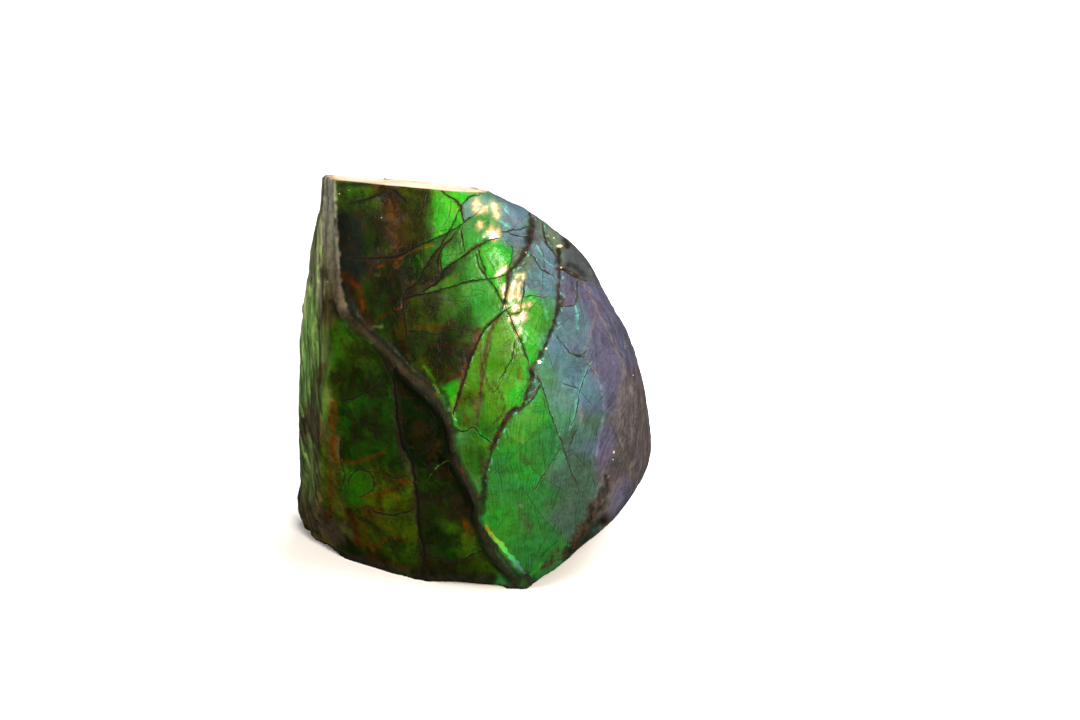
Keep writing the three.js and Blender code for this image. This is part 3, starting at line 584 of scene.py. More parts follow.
    ]),
    ("lime", [
        (0.22, 0.5, [(-7, 29.8), (-6.2, 28.6), (-5.6, 27.8)]),
        (1.3, 0.8, [(7.4, 39), (8, 37.6), (8.6, 36)]),
        (0.5, 0.6, [(9.3, 37), (9.5, 35.6), (9.2, 34.6)]),
    ]),
    ("emerald", [
        (0.7, 0.7, [(9.6, 36.6), (9.2, 34.8)]),
    ]),
    ("pine", [
        (1.6, 0.5, [(10.6, 10.6), (12.6, 9.4), (14.2, 10.6)]),
    ]),
    ("fern", [
        (0.8, 0.6, [(-6.8, 53.6), (-6.5, 51), (-6.8, 48.6)]),
        (0.35, 0.6, [(-17.6, 51.8), (-17.4, 51)]),
        (0.2, 0.6, [(-15, 44.5), (-14, 45.2)]),
        (0.25, 0.6, [(-8.2, 37.6), (-8, 37)]),
        (0.2, 0.7, [(-17, 24.6), (-16.8, 23.8)]),
        (0.3, 0.4, [(-17, 20.4), (-16.6, 19)]),
        (0.25, 0.5, [(-4.4, 11.6), (-4, 11)]),
    ]),
    ("leaf", [
        (0.3, 0.7, [(-19.3, 34.4), (-19, 33), (-19.3, 31), (-19.5, 30)]),
        (0.2, 0.6, [(-18.4, 34.8), (-17, 34.1), (-15.4, 33.5), (-14.4, 32.9)]),
        (0.16, 0.6, [(-12, 27.4), (-11.8, 25.6)]),
        (0.16, 0.7, [(-18.3, 12.6), (-17.2, 12.3), (-16.4, 12)]),
        (0.3, 0.6, [(-15.1, 13.8), (-14.7, 13.3)]),
        (0.3, 0.5, [(-9.2, 5), (-8.8, 4.2)]),
        (0.2, 0.6, [(-8, 41.4), (-7.6, 40.6)]),
        (0.2, 0.6, [(-12.8, 45.9), (-12.2, 45.5)]),
        (0.16, 0.5, [(-2.8, 41), (-2.4, 40.2), (-1.6, 38.6), (-1.4, 37)]),
        (0.14, 0.7, [(11, 6.2), (9.8, 5), (8.8, 4)]),
        (0.14, 0.6, [(14.7, 6.6), (14.4, 6.2)]),
    ]),
    ("grass", [
        (0.2, 0.6, [(-20.5, 29.4), (-20.7, 26), (-20.5, 23.4), (-20, 20)]),
        (0.14, 0.8, [(-8, 44.8), (-7.5, 44.2), (-7.3, 43.4)]),
        (0.1, 0.7, [(-8.7, 43.9), (-8.2, 42.7)]),
        (0.25, 0.5, [(-18, 16.4), (-17.4, 15.6)]),
        (0.12, 0.6, [(-10.4, 13.4), (-9.8, 12)]),
    ]),
    ("sprout", [
        (0.14, 0.35, [(-5.8, 27.3), (-5.1, 26.3)]),
        (0.25, 0.4, [(-21.1, 46), (-20.9, 45)]),
        (0.16, 0.7, [(-21.3, 43.4), (-21.5, 42.2), (-21.3, 41.4)]),
        (0.22, 0.9, [(-22.6, 41), (-22.4, 39.4), (-22.2, 37.8), (-21.9, 36), (-22.1, 34.6)]),
        (0.12, 0.5, [(-23, 35), (-22.7, 34), (-22.3, 34.4)]),
        (0.18, 0.8, [(-21.7, 33), (-21.6, 31.4), (-21.4, 30)]),
        (0.2, 0.9, [(-23.4, 33), (-23.6, 30), (-24, 27), (-24.2, 25.2), (-23.6, 24), (-23.4, 23.2)]),
        (0.14, 0.9, [(-24.1, 20.3), (-23.6, 18.5), (-23, 17), (-22.6, 15.8)]),
        (0.25, 0.3, [(-22.6, 20.5), (-22.4, 19)]),
    ]),
    ("willow", [
        (0.5, 0.5, [(-21.6, 50), (-22.3, 45), (-23, 40), (-23.6, 34), (-24, 28), (-24.2, 22)]),
    ]),
    ("ash", [
        (0.3, 0.4, [(-21.9, 49), (-22.8, 43), (-23.5, 37), (-24, 30)]),
        (0.2, 0.5, [(-19.2, 55), (-19.1, 51), (-18.9, 48), (-18.9, 46), (-18.7, 43.4)]),
        (0.14, 0.4, [(-20.6, 55), (-20.7, 51), (-20.4, 48), (-20.5, 46)]),
        (0.2, 0.3, [(-13.9, 35.2), (-12.8, 35.2)]),
        (0.25, 0.3, [(-13.7, 42.3), (-13.2, 42.3)]),
        (0.12, 0.5, [(5.8, 11), (6.2, 10.8)]),
    ]),
    ("tan", [
        (0.1, 0.5, [(-21.1, 54), (-21.9, 48), (-22.5, 44), (-23.1, 39), (-23.7, 34)]),
        (0.2, 0.4, [(3.3, 51.4), (3.5, 50.8)]),
    ]),
    ("neon", [
        (0.2, 0.8, [(4.2, 24.9), (5.4, 25.1), (6.2, 26.5), (6.8, 28), (7.1, 29.2)]),
        (0.16, 0.8, [(0.3, 21.3), (1, 20.1), (2, 19.5), (2.4, 20.4), (3, 21.6), (3.8, 23), (4.3, 24.2)]),
        (0.2, 0.8, [(-3, 23.4), (-2.8, 22), (-2.1, 21.3), (-1, 21.2)]),
        (0.2, 0.6, [(-1.2, 28.4), (-0.6, 29.4), (-0.2, 30.6)]),
        (0.3, 0.5, [(2.4, 43), (2.2, 44.6), (1.6, 45.6)]),
        (0.25, 0.5, [(4.2, 45.6), (3.6, 46.2), (2.6, 46.3)]),
        (0.2, 0.6, [(0.8, 50.6), (1.2, 50)]),
        (0.14, 0.7, [(7, 49.8), (7, 49)]),
        (0.2, 0.7, [(8.8, 3), (8.2, 2.2), (7.7, 1.7)]),
        (0.12, 0.6, [(4.5, 25.8), (3.6, 24.6), (3, 25.2)]),
        (0.15, 0.5, [(1.1, 47.9), (1.3, 47.5)]),
    ]),
    ("cyan", [
        (0.14, 0.42, [(3.4, 52), (4, 51.6), (4.3, 50.8)]),
        (0.12, 0.42, [(3.8, 49.4), (4.4, 49), (4.7, 48.5)]),
        (0.12, 0.3, [(7.1, 42.9), (7.6, 41.8)]),
        (0.12, 0.36, [(6.8, 40.8), (7, 39.8)]),
        (0.2, 0.3, [(9.1, 38.6), (9.5, 37.4), (9.8, 36.2)]),
        (0.14, 0.3, [(9.2, 33), (8.9, 32.2), (8.2, 31.4)]),
        (0.16, 0.42, [(15.6, 30.4), (14.9, 28.8), (14.4, 27.5), (13.9, 25.8), (13.6, 24.2)]),
        (0.14, 0.34, [(13.6, 24.4), (13.2, 22.6), (12.7, 21.2)]),
        (0.25, 0.3, [(4, 51.8), (4.2, 51.2)]),
        (0.12, 0.42, [(13.6, 37.8), (13.7, 36.6), (13.9, 35)]),
        (0.1, 0.48, [(11.9, 39.6), (12, 39.3)]),
        (0.12, 0.36, [(10.6, 42), (10.7, 41.8)]),
        (0.25, 0.18, [(16.9, 13.8), (16.2, 12)]),
        (0.3, 0.15, [(17, 8), (16.2, 7.4)]),
    ]),
    ("lavender", [
        (0.14, 0.36, [(16.2, 29), (17, 27.2), (17.2, 25.8), (17.4, 24), (17.2, 22), (16.8, 20),
                      (16.3, 17.6)]),
        (0.2, 0.3, [(19.9, 12), (19.2, 10.8), (18.8, 10)]),
        (0.12, 0.24, [(10.7, 38.8), (10.5, 38)]),
        (0.3, 0.15, [(15.6, 40.4), (16.8, 39)]),
    ]),
    ("fawn", [
        (0.2, 0.5, [(19.9, 30), (19.6, 26), (19.4, 21), (20, 18.6), (20.8, 16.6), (21, 14)]),
        (0.18, 0.5, [(22.6, 25.6), (22.7, 22), (23, 17.6)]),
        (0.16, 0.4, [(21.4, 26.8), (21.9, 24.4), (21.4, 21)]),
        (0.14, 0.6, [(14.6, 41.4), (15.4, 39.8), (16.6, 37.4), (18.2, 34), (19.4, 31.2), (20.6, 28.4),
                     (21.2, 26.4)]),
        (0.14, 0.5, [(17.4, 16.4), (17.2, 14.6), (16.8, 12.8)]),
        (0.25, 0.5, [(14.2, 24.4), (14.3, 22.6)]),
        (0.12, 0.5, [(16.3, 36.8), (15.8, 34.6), (15, 32.4), (15.4, 30.4), (16.6, 28.4)]),
        (0.16, 0.5, [(15.4, 43), (15.7, 42.4)]),
    ]),
]

# Gold shards that face the light, partly the nacre's own gold and partly painted highlight, and single
# glints, which are painted highlights: half width, then across and up.
goldShardsAndHighlights = [
    (0.5, [(-0.4, 52), (0.6, 51.9)]),
    (0.36, [(-0.4, 51.3), (0.5, 51)]),
    (0.3, [(0.5, 50.7), (1.5, 51.7)]),
    (0.4, [(2.3, 52), (2.6, 51), (2.9, 50.2)]),
    (0.25, [(0.6, 49.4), (0.8, 48.8)]),
    (0.16, [(1, 47.6), (1.1, 47.5)]),
    (0.45, [(2, 48.2), (3.2, 48.1)]),
    (0.2, [(1.9, 47.4), (3.2, 47.5)]),
    (0.2, [(2.8, 42.1), (3.5, 42.7), (4.1, 43.4)]),
    (0.18, [(3.9, 41.2), (3.8, 40.2), (3.9, 39.2)]),
    (0.26, [(5.2, 41.5), (4.9, 40.2), (4.5, 38.8)]),
    (0.16, [(5.4, 42), (5.9, 42.3), (6.4, 42.4), (6.4, 41.6)]),
    (0.2, [(6.1, 41.2), (5.8, 39.8), (5.9, 38.8)]),
    (0.42, [(5.1, 38), (5.3, 37.4)]),
    (0.28, [(4.6, 36.8), (5.2, 36.1), (5.8, 35.6)]),
    (0.32, [(6.7, 37.1), (6.4, 36.2)]),
    (0.14, [(5.9, 35.2), (5.9, 33.9)]),
    (0.28, [(7.2, 38.4), (7.4, 38.2)]),
    (0.16, [(6.5, 38.5), (6.4, 37.8)]),
    (0.16, [(3.9, 38.3), (4, 38)]),
]
glints = [
    (0.17, [(11, 46.2), (11.7, 46.25)]),
    (0.12, [(9.8, 47.7), (9.9, 47.6)]),
    (0.12, [(10.6, 47.4), (10.7, 47.3)]),
    (0.1, [(12.6, 46.8), (12.7, 46.8)]),
    (0.14, [(6.8, 45.4), (6.9, 45.3)]),
    (0.11, [(11.5, 43.3), (11.7, 43.3)]),
    (0.12, [(7.6, 50.2), (7.8, 50.2)]),
    (0.15, [(9.5, 32.4), (9.6, 32.1)]),
    (0.24, [(8.7, 30.7), (8.5, 30.3)]),
    (0.12, [(21.3, 28.7), (21.4, 28.6)]),
    (0.15, [(18.8, 18.4), (18.7, 18)]),
    (0.12, [(18.7, 17.2), (18.6, 17.1)]),
    (0.12, [(18.1, 14.9), (18, 14.8)]),
    (0.13, [(-18.6, 53.9), (-18.6, 53.8)]),
    (0.14, [(-18.6, 53.4), (-18.6, 53.3)]),
    (0.11, [(-17.4, 53.8), (-17.3, 53.7)]),
    (0.12, [(-12.9, 50.1), (-12.8, 50)]),
    (0.11, [(-17.9, 38.4), (-17.7, 38.3)]),
    (0.12, [(-20.1, 45.7), (-19.9, 45.6)]),
    (0.1, [(-20.1, 45.1), (-20, 45)]),
    (0.1, [(-20.2, 41.4), (-20, 41.3)]),
    (0.1, [(-19.9, 41.7), (-19.8, 41.6)]),
    (0.08, [(14.7, 22), (14.7, 21.9)]),
    (0.09, [(16.5, 31), (16.6, 30.9)]),
]

# Hairlines scattered over the front: middle, spread, direction in degrees, its scatter, length, count.
hairlines = [
    {"middle": (-2, 42), "spread": (6, 6), "turn": 30, "scatter": 35, "length": 5, "count": 16},
    {"middle": (7, 40), "spread": (5, 8), "turn": 75, "scatter": 40, "length": 4, "count": 15},
    {"middle": (12.5, 32), "spread": (4, 9), "turn": 95, "scatter": 40, "length": 5, "count": 10},
    {"middle": (8, 14), "spread": (6, 8), "turn": 70, "scatter": 40, "length": 5, "count": 9},
    {"middle": (-12, 12), "spread": (6, 8), "turn": 20, "scatter": 60, "length": 4, "count": 16},
    {"middle": (-12, 40), "spread": (5, 11), "turn": 60, "scatter": 60, "length": 4, "count": 14},
    {"middle": (3.5, 30), "spread": (3, 6), "turn": 65, "scatter": 20, "length": 6, "count": 5},
    {"middle": (19, 26), "spread": (3, 11), "turn": 110, "scatter": 25, "length": 6, "count": 7},
]

# The crest goes from grey at the top to brown at the tip.
crestColours = {
    "up": [56, 50, 46, 43, 41, 38.5, 36, 30, 22, 10, 0],
    "red": [0.225, 0.215, 0.150, 0.105, 0.080, 0.070, 0.018, 0.019, 0.009, 0.009, 0.008],
    "green": [0.225, 0.210, 0.138, 0.088, 0.062, 0.054, 0.014, 0.013, 0.008, 0.008, 0.010],
    "blue": [0.172, 0.150, 0.092, 0.060, 0.040, 0.034, 0.005, 0.005, 0.003, 0.003, 0.004],
}

stone = {
    "voxel": 0.5,  # mm
    "topHeight": 53.15,  # up the face, at its middle
    "topAcross": -0.08,
    "topInward": 0.128,
    "topNear": 10.4,
    "topGrid": 1.4,  # mm between points on the sawn top
    "gridReach": (26, 32),  # mm either way, across and near
    "eveningRounds": 50,
    "evening": 0.7,
    "rounding": 0.12,  # mm that the evened side stands out again
    "shoulder": {"across": 6.5, "up": 50.6, "swell": 0.28, "spread": 14},
    "flareUp": [1, 3, 4.9, 6.8, 8.7, 10.6, 14],
    "flareOut": [0, 1.4, 2.2, 1.6, 1.1, 0.8, 0],  # how far the foot spreads on the left, in mm
    "stripUp": [16, 24, 40, 56],
    "stripEdge": [20.8, 20.6, 20.2, 20.8],  # where the broken left side starts
    "crestTop": 39,  # above this the crest is sawn clean
}
relief = {  # mm
    "plateStep": 0.11,
    "groove": 0.08,
    "murkyRelief": 0.05,  # less deep where the nacre is murky
    "besideCrest": 0.05,
    "crest": 0.045,
    "layers": 0.22,
    "chunk": (9, 0.22),  # width and steepness of the broken faces
    "smallChunk": (3.4, 0.26),
    "mostBroken": 0.3,
    "back": 0.3,
    "sparkle": 0.03,
    "foot": 0.2,  # below this the stone stays flat
}
spreading = {
    "crossing": 3.5,  # what a crack costs a colour that spreads, in mm
    "softening": 14,  # passes that blend the colours within a plate
    "crackReach": 6,  # half widths within which a line parts two points
    "crestReach": 2.5,
    "besideCrest": 0.75,  # painted shade: how much darker the crest's sides are
    "stripRimLight": np.array([0.1, 0.2, 0.1]),  # painted rim light: how much lighter the strip's outer edge is
}
farAway = 20.0  # half widths, for points that no line reaches


def smoothPath(points, step=0.18):
    ends = [points[0], *points, points[-1]]
    path = []
    for a, b, c, d in zip(ends, ends[1:], ends[2:], ends[3:]):
        a, b, c, d = (np.array(p, float) for p in (a, b, c, d))
        count = max(2, int(np.linalg.norm(c - b) / step))
        for t in np.arange(count) / count:
            path.append(0.5 * (2 * b + (c - a) * t + (2 * a - 5 * b + 4 * c - d) * t * t
                               + (3 * b - a - 3 * c + d) * t ** 3))
    path.append(np.array(points[-1], float))
    return np.array(path)


def wander(path, amount, seed):
    moved = path.copy()
    for i, (x, y) in enumerate(path):
        spot = Vector((x, y, seed * 7.3))
        for axis in (0, 1):
            shift = Vector((31 * axis, 17 * axis, 0))
            wide = noise.noise(spot * 0.8 + shift)
            fine = noise.noise(spot * 3.1 + shift)
            moved[i, axis] += amount * (wide + 0.7 * fine)
    return moved


def beadsAlong(path, along, pitch, number):
    # Noise from -1 to 1 that changes along a path.
    beads = np.array([noise.noise(Vector((x * pitch, y * pitch, number))) for x, y in path])
    return np.interp(along, np.linspace(0, 1, len(path)), beads)


def within(spots, path, reach):
    return ((spots > path.min(0) - reach) & (spots < path.max(0) + reach)).all(1)


def signedDistance(spots, path):
    # Distance to the path, positive on its left, and how far along it the nearest point lies.
    best = np.full(len(spots), 1e9)
    sign = np.ones(len(spots))
    along = np.zeros(len(spots))
    for i in range(len(path) - 1):
        run = path[i + 1] - path[i]
        length = max(run @ run, 1e-9)
        offset = spots - path[i]
        t = np.clip((offset @ run) / length, 0, 1)
        gap = offset - t[:, None] * run
        distance = np.hypot(gap[:, 0], gap[:, 1])
        nearer = distance < best - 1e-6
        side = np.where(run[0] * offset[:, 1] - run[1] * offset[:, 0] >= 0, 1.0, -1.0)
        best[nearer] = distance[nearer]
        sign[nearer] = side[nearer]
        along[nearer] = (i + t[nearer]) / (len(path) - 1)
    return best, sign, along


def lineField(spots, strokes, amount, seed, taper=0.45, beading=0.8):
    # One signed value per spot for the nearest stroke: distance over half width.
    field = np.full(len(spots), farAway)
    for number, (halfWidth, points) in enumerate(strokes):
        path = wander(smoothPath(points), amount, seed + number)
        inside = np.where(within(spots, path, halfWidth * farAway))[0]
        if not len(inside):
            continue
        distance, sign, along = signedDistance(spots[inside], path)
        ends = np.clip(np.minimum(along, 1 - along) * 6, 0, 1)
        uneven = 1 + beading * beadsAlong(path, along, 1.7, number)
        width = halfWidth * (taper + (1 - taper) * ends) * uneven
        value = np.clip(distance / width, 0, farAway)
        nearer = value < np.abs(field[inside])
        field[inside[nearer]] = (value * sign)[nearer]
    return field


def shareOut(strokes, channelCount, clearance=0.9):
    # Strokes that meet go on different channels, so that their signs never clash.
    channels = [[] for _ in range(channelCount)]
    paths = [[] for _ in range(channelCount)]
    for stroke in strokes:
        path = smoothPath(stroke[1], 0.5)
        gaps = []
        for held in paths:
            near = [np.hypot(*(path[:, None] - other[None]).transpose(2, 0, 1)).min() for other in held]
            gaps.append(min(near, default=99))
        pick = next((i for i, gap in enumerate(gaps) if gap > clearance), int(np.argmax(gaps)))
        channels[pick].append(stroke)
        paths[pick].append(path)
    return channels


def scatterHairlines():
    strokes = []
    for plan in hairlines:
        for _ in range(plan["count"]):
            x = plan["middle"][0] + random.uniform(-1, 1) * plan["spread"][0]
            y = plan["middle"][1] + random.uniform(-1, 1) * plan["spread"][1]
            turn = math.radians(plan["turn"] + random.uniform(-1, 1) * plan["scatter"])
            points = []
            for _ in range(4):
                points.append((x, y))
                x += math.cos(turn) * plan["length"] / 3
                y += math.sin(turn) * plan["length"] / 3
                turn += random.uniform(-0.18, 0.18)
            strokes.append((random.uniform(0.035, 0.08), points))
    return strokes


def stepUp(values, low, high):
    t = np.clip((values - low) / (high - low), 0, 1)
    return t * t * (3 - 2 * t)


def fractal(places, scale, octaves, shift=0.0, squash=(1, 1, 1)):
    stretch = np.array(squash) * scale
    return np.array([noise.fractal(Vector(p) + Vector((shift, shift, shift)), 0.8, 2.1, octaves)
                     for p in places * stretch])


def chunks(places, size, steepness):
    # Height of flat broken faces about this wide, each leaning its own way.
    heights = np.empty(len(places))
    for i, place in enumerate(places):
        spot = Vector(place) / size
        middle = noise.voronoi(spot)[1][0]
        heights[i] = noise.cell_vector(middle * 5.3).dot(spot - middle) * size * steepness
    return heights


def neighbourSums(edges, values, count):
    return (np.bincount(edges[:, 0], values[edges[:, 1]], count)
            + np.bincount(edges[:, 1], values[edges[:, 0]], count))


def evened(places, edges, weight, rounds):
    # Draws each point towards the middle of its neighbours, so that broad facets become one curve.
    count = len(places)
    near = np.bincount(edges.ravel(), minlength=count)
    for _ in range(rounds):
        middle = np.column_stack([neighbourSums(edges, places[:, axis], count) / near for axis in range(3)])
        places = places + (middle - places) * weight[:, None]
    return places


def meshArrays(mesh):
    count = len(mesh.vertices)
    places = np.empty(count * 3)
    mesh.vertices.foreach_get("co", places)
    normals = np.empty(count * 3)
    mesh.vertices.foreach_get("normal", normals)
    edges = np.empty(len(mesh.edges) * 2, int)
    mesh.edges.foreach_get("vertices", edges)
    return places.reshape(-1, 3), normals.reshape(-1, 3), edges.reshape(-1, 2)


def onFace(places):
    # Across and up as the camera sees them, in the units of the markings.
    offset = places / mm - np.array(face["tip"])
    across = offset @ np.array(acrossAxis)
    up = offset @ np.array(upAxis)
    near = offset @ np.array(nearAxis)
    aim = view["aim"]
    middle = view["marksMiddle"]
    pull = viewDistance / (viewDistance - (near - aim[2])) * view["marksWidth"] / view["frameWidth"]
    return np.stack([middle[0] + (across - aim[0]) * pull, middle[1] + (up - aim[1]) * pull], 1)


def sawPlane():
    normal = (acrossAxis * -stone["topAcross"] + upAxis + nearAxis * stone["topInward"]).normalized()
    return facePoint(0, stone["topHeight"], stone["topNear"]), normal


def shapeSides(mesh):
    # The facets of the right side become one curve, and the foot spreads on the left.
    places, normals, edges = meshArrays(mesh)
    spots = onFace(places)
    across = spots[:, 0]
    up = spots[:, 1]
    cut, sawNormal = sawPlane()
    below = (np.array(cut) - places) @ np.array(sawNormal) / mm
    rounded = stepUp(across, 3, 7) * stepUp(places[:, 2] / mm, 4, 7) * stepUp(below, 1.2, 4)
    shoulder = stone["shoulder"]
    fromShoulder = (across - shoulder["across"]) ** 2 + (up - shoulder["up"]) ** 2
    swell = shoulder["swell"] * np.exp(-fromShoulder / shoulder["spread"]) * stepUp(below, 0.8, 2.4)
    places = evened(places, edges, rounded * stone["evening"], stone["eveningRounds"])
    places += normals * ((rounded * stone["rounding"] + swell) * mm)[:, None]
    flare = np.interp(up, stone["flareUp"], stone["flareOut"]) * stepUp(-across, 8, 17)
    places -= np.outer(flare * mm, acrossAxis)
    mesh.vertices.foreach_set("co", places.ravel())


def refinedCopy(node):
    bm = bmesh.new()
    bm.from_mesh(node.data)
    bmesh.ops.remove_doubles(bm, verts=bm.verts, dist=1e-6)
    mesh = bpy.data.meshes.new("ammoliteFossil")
    bm.to_mesh(mesh)
    bm.free()
    piece = addObject("ammoliteFossil", mesh)
    remesh = piece.modifiers.new("voxels", "REMESH")
    remesh.mode = "VOXEL"
    remesh.voxel_size = stone["voxel"] * mm
    solid = bpy.data.meshes.new_from_object(piece.evaluated_get(bpy.context.evaluated_depsgraph_get()))
    piece.modifiers.clear()
    piece.data = solid
    shapeSides(solid)
    bm = bmesh.new()
    bm.from_mesh(solid)
    bm.normal_update()
    shown = [f for f in bm.faces if f.normal.dot(nearAxis) > 0.12 and f.normal.z < 0.75]
    edges = list({e for f in shown for e in f.edges})
    bmesh.ops.subdivide_edges(bm, edges=edges, cuts=1, use_grid_fill=True)
    bmesh.ops.smooth_vert(bm, verts=bm.verts, factor=0.5, use_axis_x=True, use_axis_y=True, use_axis_z=True)
    bm.to_mesh(solid)
    bm.free()
    return piece


def crossedEdges(edges, fields):
    crossed = np.zeros(len(edges), bool)
    for field, reach in fields:
        a = field[edges[:, 0]]
        b = field[edges[:, 1]]
        crossed |= (a * b < 0) & (np.abs(a) + np.abs(b) < reach)
    return crossed


def growPatches(skin, seeds, costs):
    # Each patch grows over the surface from its middle, and the nearest one keeps a point.
    tree = kdtree.KDTree(int(skin.front.sum()))
    for i in np.where(skin.front)[0]:
        tree.insert((skin.across[i], skin.up[i], 0), int(i))
    tree.balance()
    neighbours = [[] for _ in range(len(skin.places))]
    for (a, b), cost in zip(skin.edges.tolist(), costs.tolist()):
        neighbours[a].append((b, cost))
        neighbours[b].append((a, cost))
    spent = np.full(len(skin.places), 1e9).tolist()
    owner = [-1] * len(skin.places)
    queue = []
    for number, (x, y, radius, _) in enumerate(seeds):
        start = tree.find((x, y, 0))[1]
        heapq.heappush(queue, (-radius, start, number))
    while queue:
        cost, here, number = heapq.heappop(queue)
        if cost >= spent[here]:
            continue
        spent[here] = cost
        owner[here] = number
        for there, step in neighbours[here]:
            if cost + step < spent[there]:
                heapq.heappush(queue, (cost + step, there, number))
    return np.array(owner)


def spreadColours(skin, lines):
    # A crack holds a patch back. Then colours, levels and murk blend within the plates.
    seeds = [(x, y, radius, name) for group in (patches, patchesOnStrip)
             for name, spotsOfColour in group.items() for x, y, radius in spotsOfColour]
    fields = [(field, spreading["crackReach"]) for field in lines.dark]
    fields.append((lines.crest, spreading["crestReach"]))
    crossed = crossedEdges(skin.edges, fields)
    ends = skin.places[skin.edges]
    lengths = np.linalg.norm(ends[:, 0] - ends[:, 1], axis=1) / mm
    owner = growPatches(skin, seeds, lengths + crossed * spreading["crossing"])
    colours = np.array([nacre[seed[3]] for seed in seeds])[owner]
    murk = np.array([murky.get(seed[3], 0) for seed in seeds], float)[owner]
    levels = np.array([random.uniform(-1, 1) for _ in seeds])[owner]
    joined = skin.edges[~crossed]
    count = len(skin.places)
    degree = np.bincount(joined.ravel(), minlength=count).astype(float)
    values = np.column_stack([np.sqrt(colours), levels, murk])
    for _ in range(spreading["softening"]):
        total = np.column_stack([neighbourSums(joined, column, count) for column in values.T])
        values = (values + total) / (1 + degree)[:, None]
    skin.tint = values[:, :3] ** 2
    skin.level = values[:, 3]
    skin.murk = values[:, 4]
    print("colours spread")


def layWashes(skin):
    # Brush each stroke over the colours, with wandering edges.
    number = 400
    shade = np.sqrt(skin.tint)
    for name, strokes in washes:
        for halfWidth, strength, points in strokes:
            number += 1
            path = wander(smoothPath(points), 0.16, number)
            inside = np.where(within(skin.spots, path, halfWidth * 2.2) & ~skin.hidden)[0]
            if not len(inside):
                continue
            distance, _, along = signedDistance(skin.spots[inside], path)
            width = halfWidth * (1 + 0.7 * beadsAlong(path, along, 1.3, number))
            amount = strength * (1 - stepUp(distance / width, 0.3, 1.5))
            shade[inside] += (np.sqrt(np.array(nacre[name])) - shade[inside]) * amount[:, None]
            skin.murk[inside] += (murky.get(name, 0) - skin.murk[inside]) * amount
    skin.tint = shade ** 2
    print("washes laid")


def readSkin(mesh):
    skin = SimpleNamespace()
    skin.places, skin.normals, skin.edges = meshArrays(mesh)
    skin.spots = onFace(skin.places)
    skin.across = skin.spots[:, 0]
    skin.up = skin.spots[:, 1]
    facing = skin.normals @ np.array(nearAxis)
    skin.facing = facing
    skin.front = facing > 0.05
    skin.hidden = facing < -0.1
    print("stone copied:", len(skin.places), "points")
    return skin


def layLines(skin):
    # Signed distances to each kind of line, in half widths.
    spots = skin.spots
    darkGroups = shareOut(openCracks + fineCracks, 4)
    lines = SimpleNamespace()
    lines.dark = [lineField(spots, group, 0.2, 10 * i) for i, group in enumerate(darkGroups)]
    hairGroups = shareOut(scatterHairlines() + faintCracks, 3)
    lines.hairs = [lineField(spots, group, 0.07, 300 + i) for i, group in enumerate(hairGroups)]
    lines.gold = np.abs(lineField(spots, goldShardsAndHighlights, 0.2, 210)) * 0.85
    lines.glint = np.abs(lineField(spots, glints, 0.02, 230))
    lines.veins = lineField(spots, rustVeins, 0.3, 90, taper=0.3)
    lines.bright = lineField(spots, brightEdges, 0.15, 130)
    lines.crest = lineField(spots, crestLines, 0.14, 170, taper=0.8, beading=0.35)
    lines.streak = lineField(spots, streakBands, 0.4, 190, taper=0.5)
    lines.lip = np.abs(lineField(spots, lipLines, 0.1, 250, taper=0.7))
    single = (lines.gold, lines.glint, lines.veins, lines.bright, lines.crest, lines.streak, lines.lip)
    for field in (*lines.dark, *lines.hairs, *single):
        field[skin.hidden] = farAway
    print("lines laid:", [len(group) for group in darkGroups])
    return lines


def maskGrounds(skin, lines):
    # How much of each kind of ground shows at a point, from 0 to 1.
    rough = fractal(skin.places / mm, 0.5, 4)
    fine = fractal(skin.places / mm, 1.6, 3, 40)
    low = skin.up < stone["crestTop"]
    masks = SimpleNamespace(rough=rough, fine=fine)
    masks.foot = 1 - stepUp(skin.places[:, 2] / mm + rough * 1.2, 0.5, 2.0)
    crestNoise = np.where(skin.up > stone["crestTop"], 0.08, 0.22) * rough
    masks.crest = 1 - stepUp(np.abs(lines.crest) + crestNoise, 0.75, 1.3)
    beside = 1 - stepUp(np.abs(lines.crest) + 0.4 * rough, 1.2, 2.9)
    masks.flank = beside * (1 - masks.crest) * low
    stripEdge = np.interp(skin.up, stone["stripUp"], stone["stripEdge"])
    masks.strip = stepUp(-skin.across - stripEdge, -0.3, 0.5)
    masks.back = stepUp(-(skin.facing + 0.25 * rough), -0.12, 0.22)
    matrix = np.maximum.reduce([masks.crest, masks.back, masks.foot * 0.9, masks.flank * 0.7])
    masks.matrix = np.clip(matrix, 0, 1)
    masks.streak = 1 - stepUp(np.abs(lines.streak) + 0.4 * rough, 0.4, 1.5)
    masks.rust = 1 - stepUp(np.abs(lines.veins) + 0.8 * fine, 0.3, 1.7)
    goldBand = 6.6 - 0.21 * np.abs(skin.up - 36)
    masks.sparkle = (1 - stepUp(np.abs(skin.across - goldBand), 2.2, 5)) * stepUp(skin.up, 28, 33)
    return masks


def colourStone(skin, lines, masks):
    spreadColours(skin, lines)
    tint = skin.tint
    # Painted shade: the tint is darkened along both sides of the crest.
    tint *= (1 - spreading["besideCrest"] * masks.flank)[:, None]
    heights = -np.array(crestColours["up"])
    crestTone = np.column_stack([np.interp(-skin.up, heights, crestColours[band])
                                 for band in ("red", "green", "blue")])
    tint += (crestTone - tint) * masks.crest[:, None]
    tint += (np.array(nacre["bark"]) * 0.35 - tint) * (masks.foot * 0.8)[:, None]
    layWashes(skin)
    # Painted rim light: the strip is lightened towards its outer edge.
    outer = masks.strip * stepUp(-skin.across, 22, 23)
    skin.tint *= 1 + outer[:, None] * spreading["stripRimLight"]


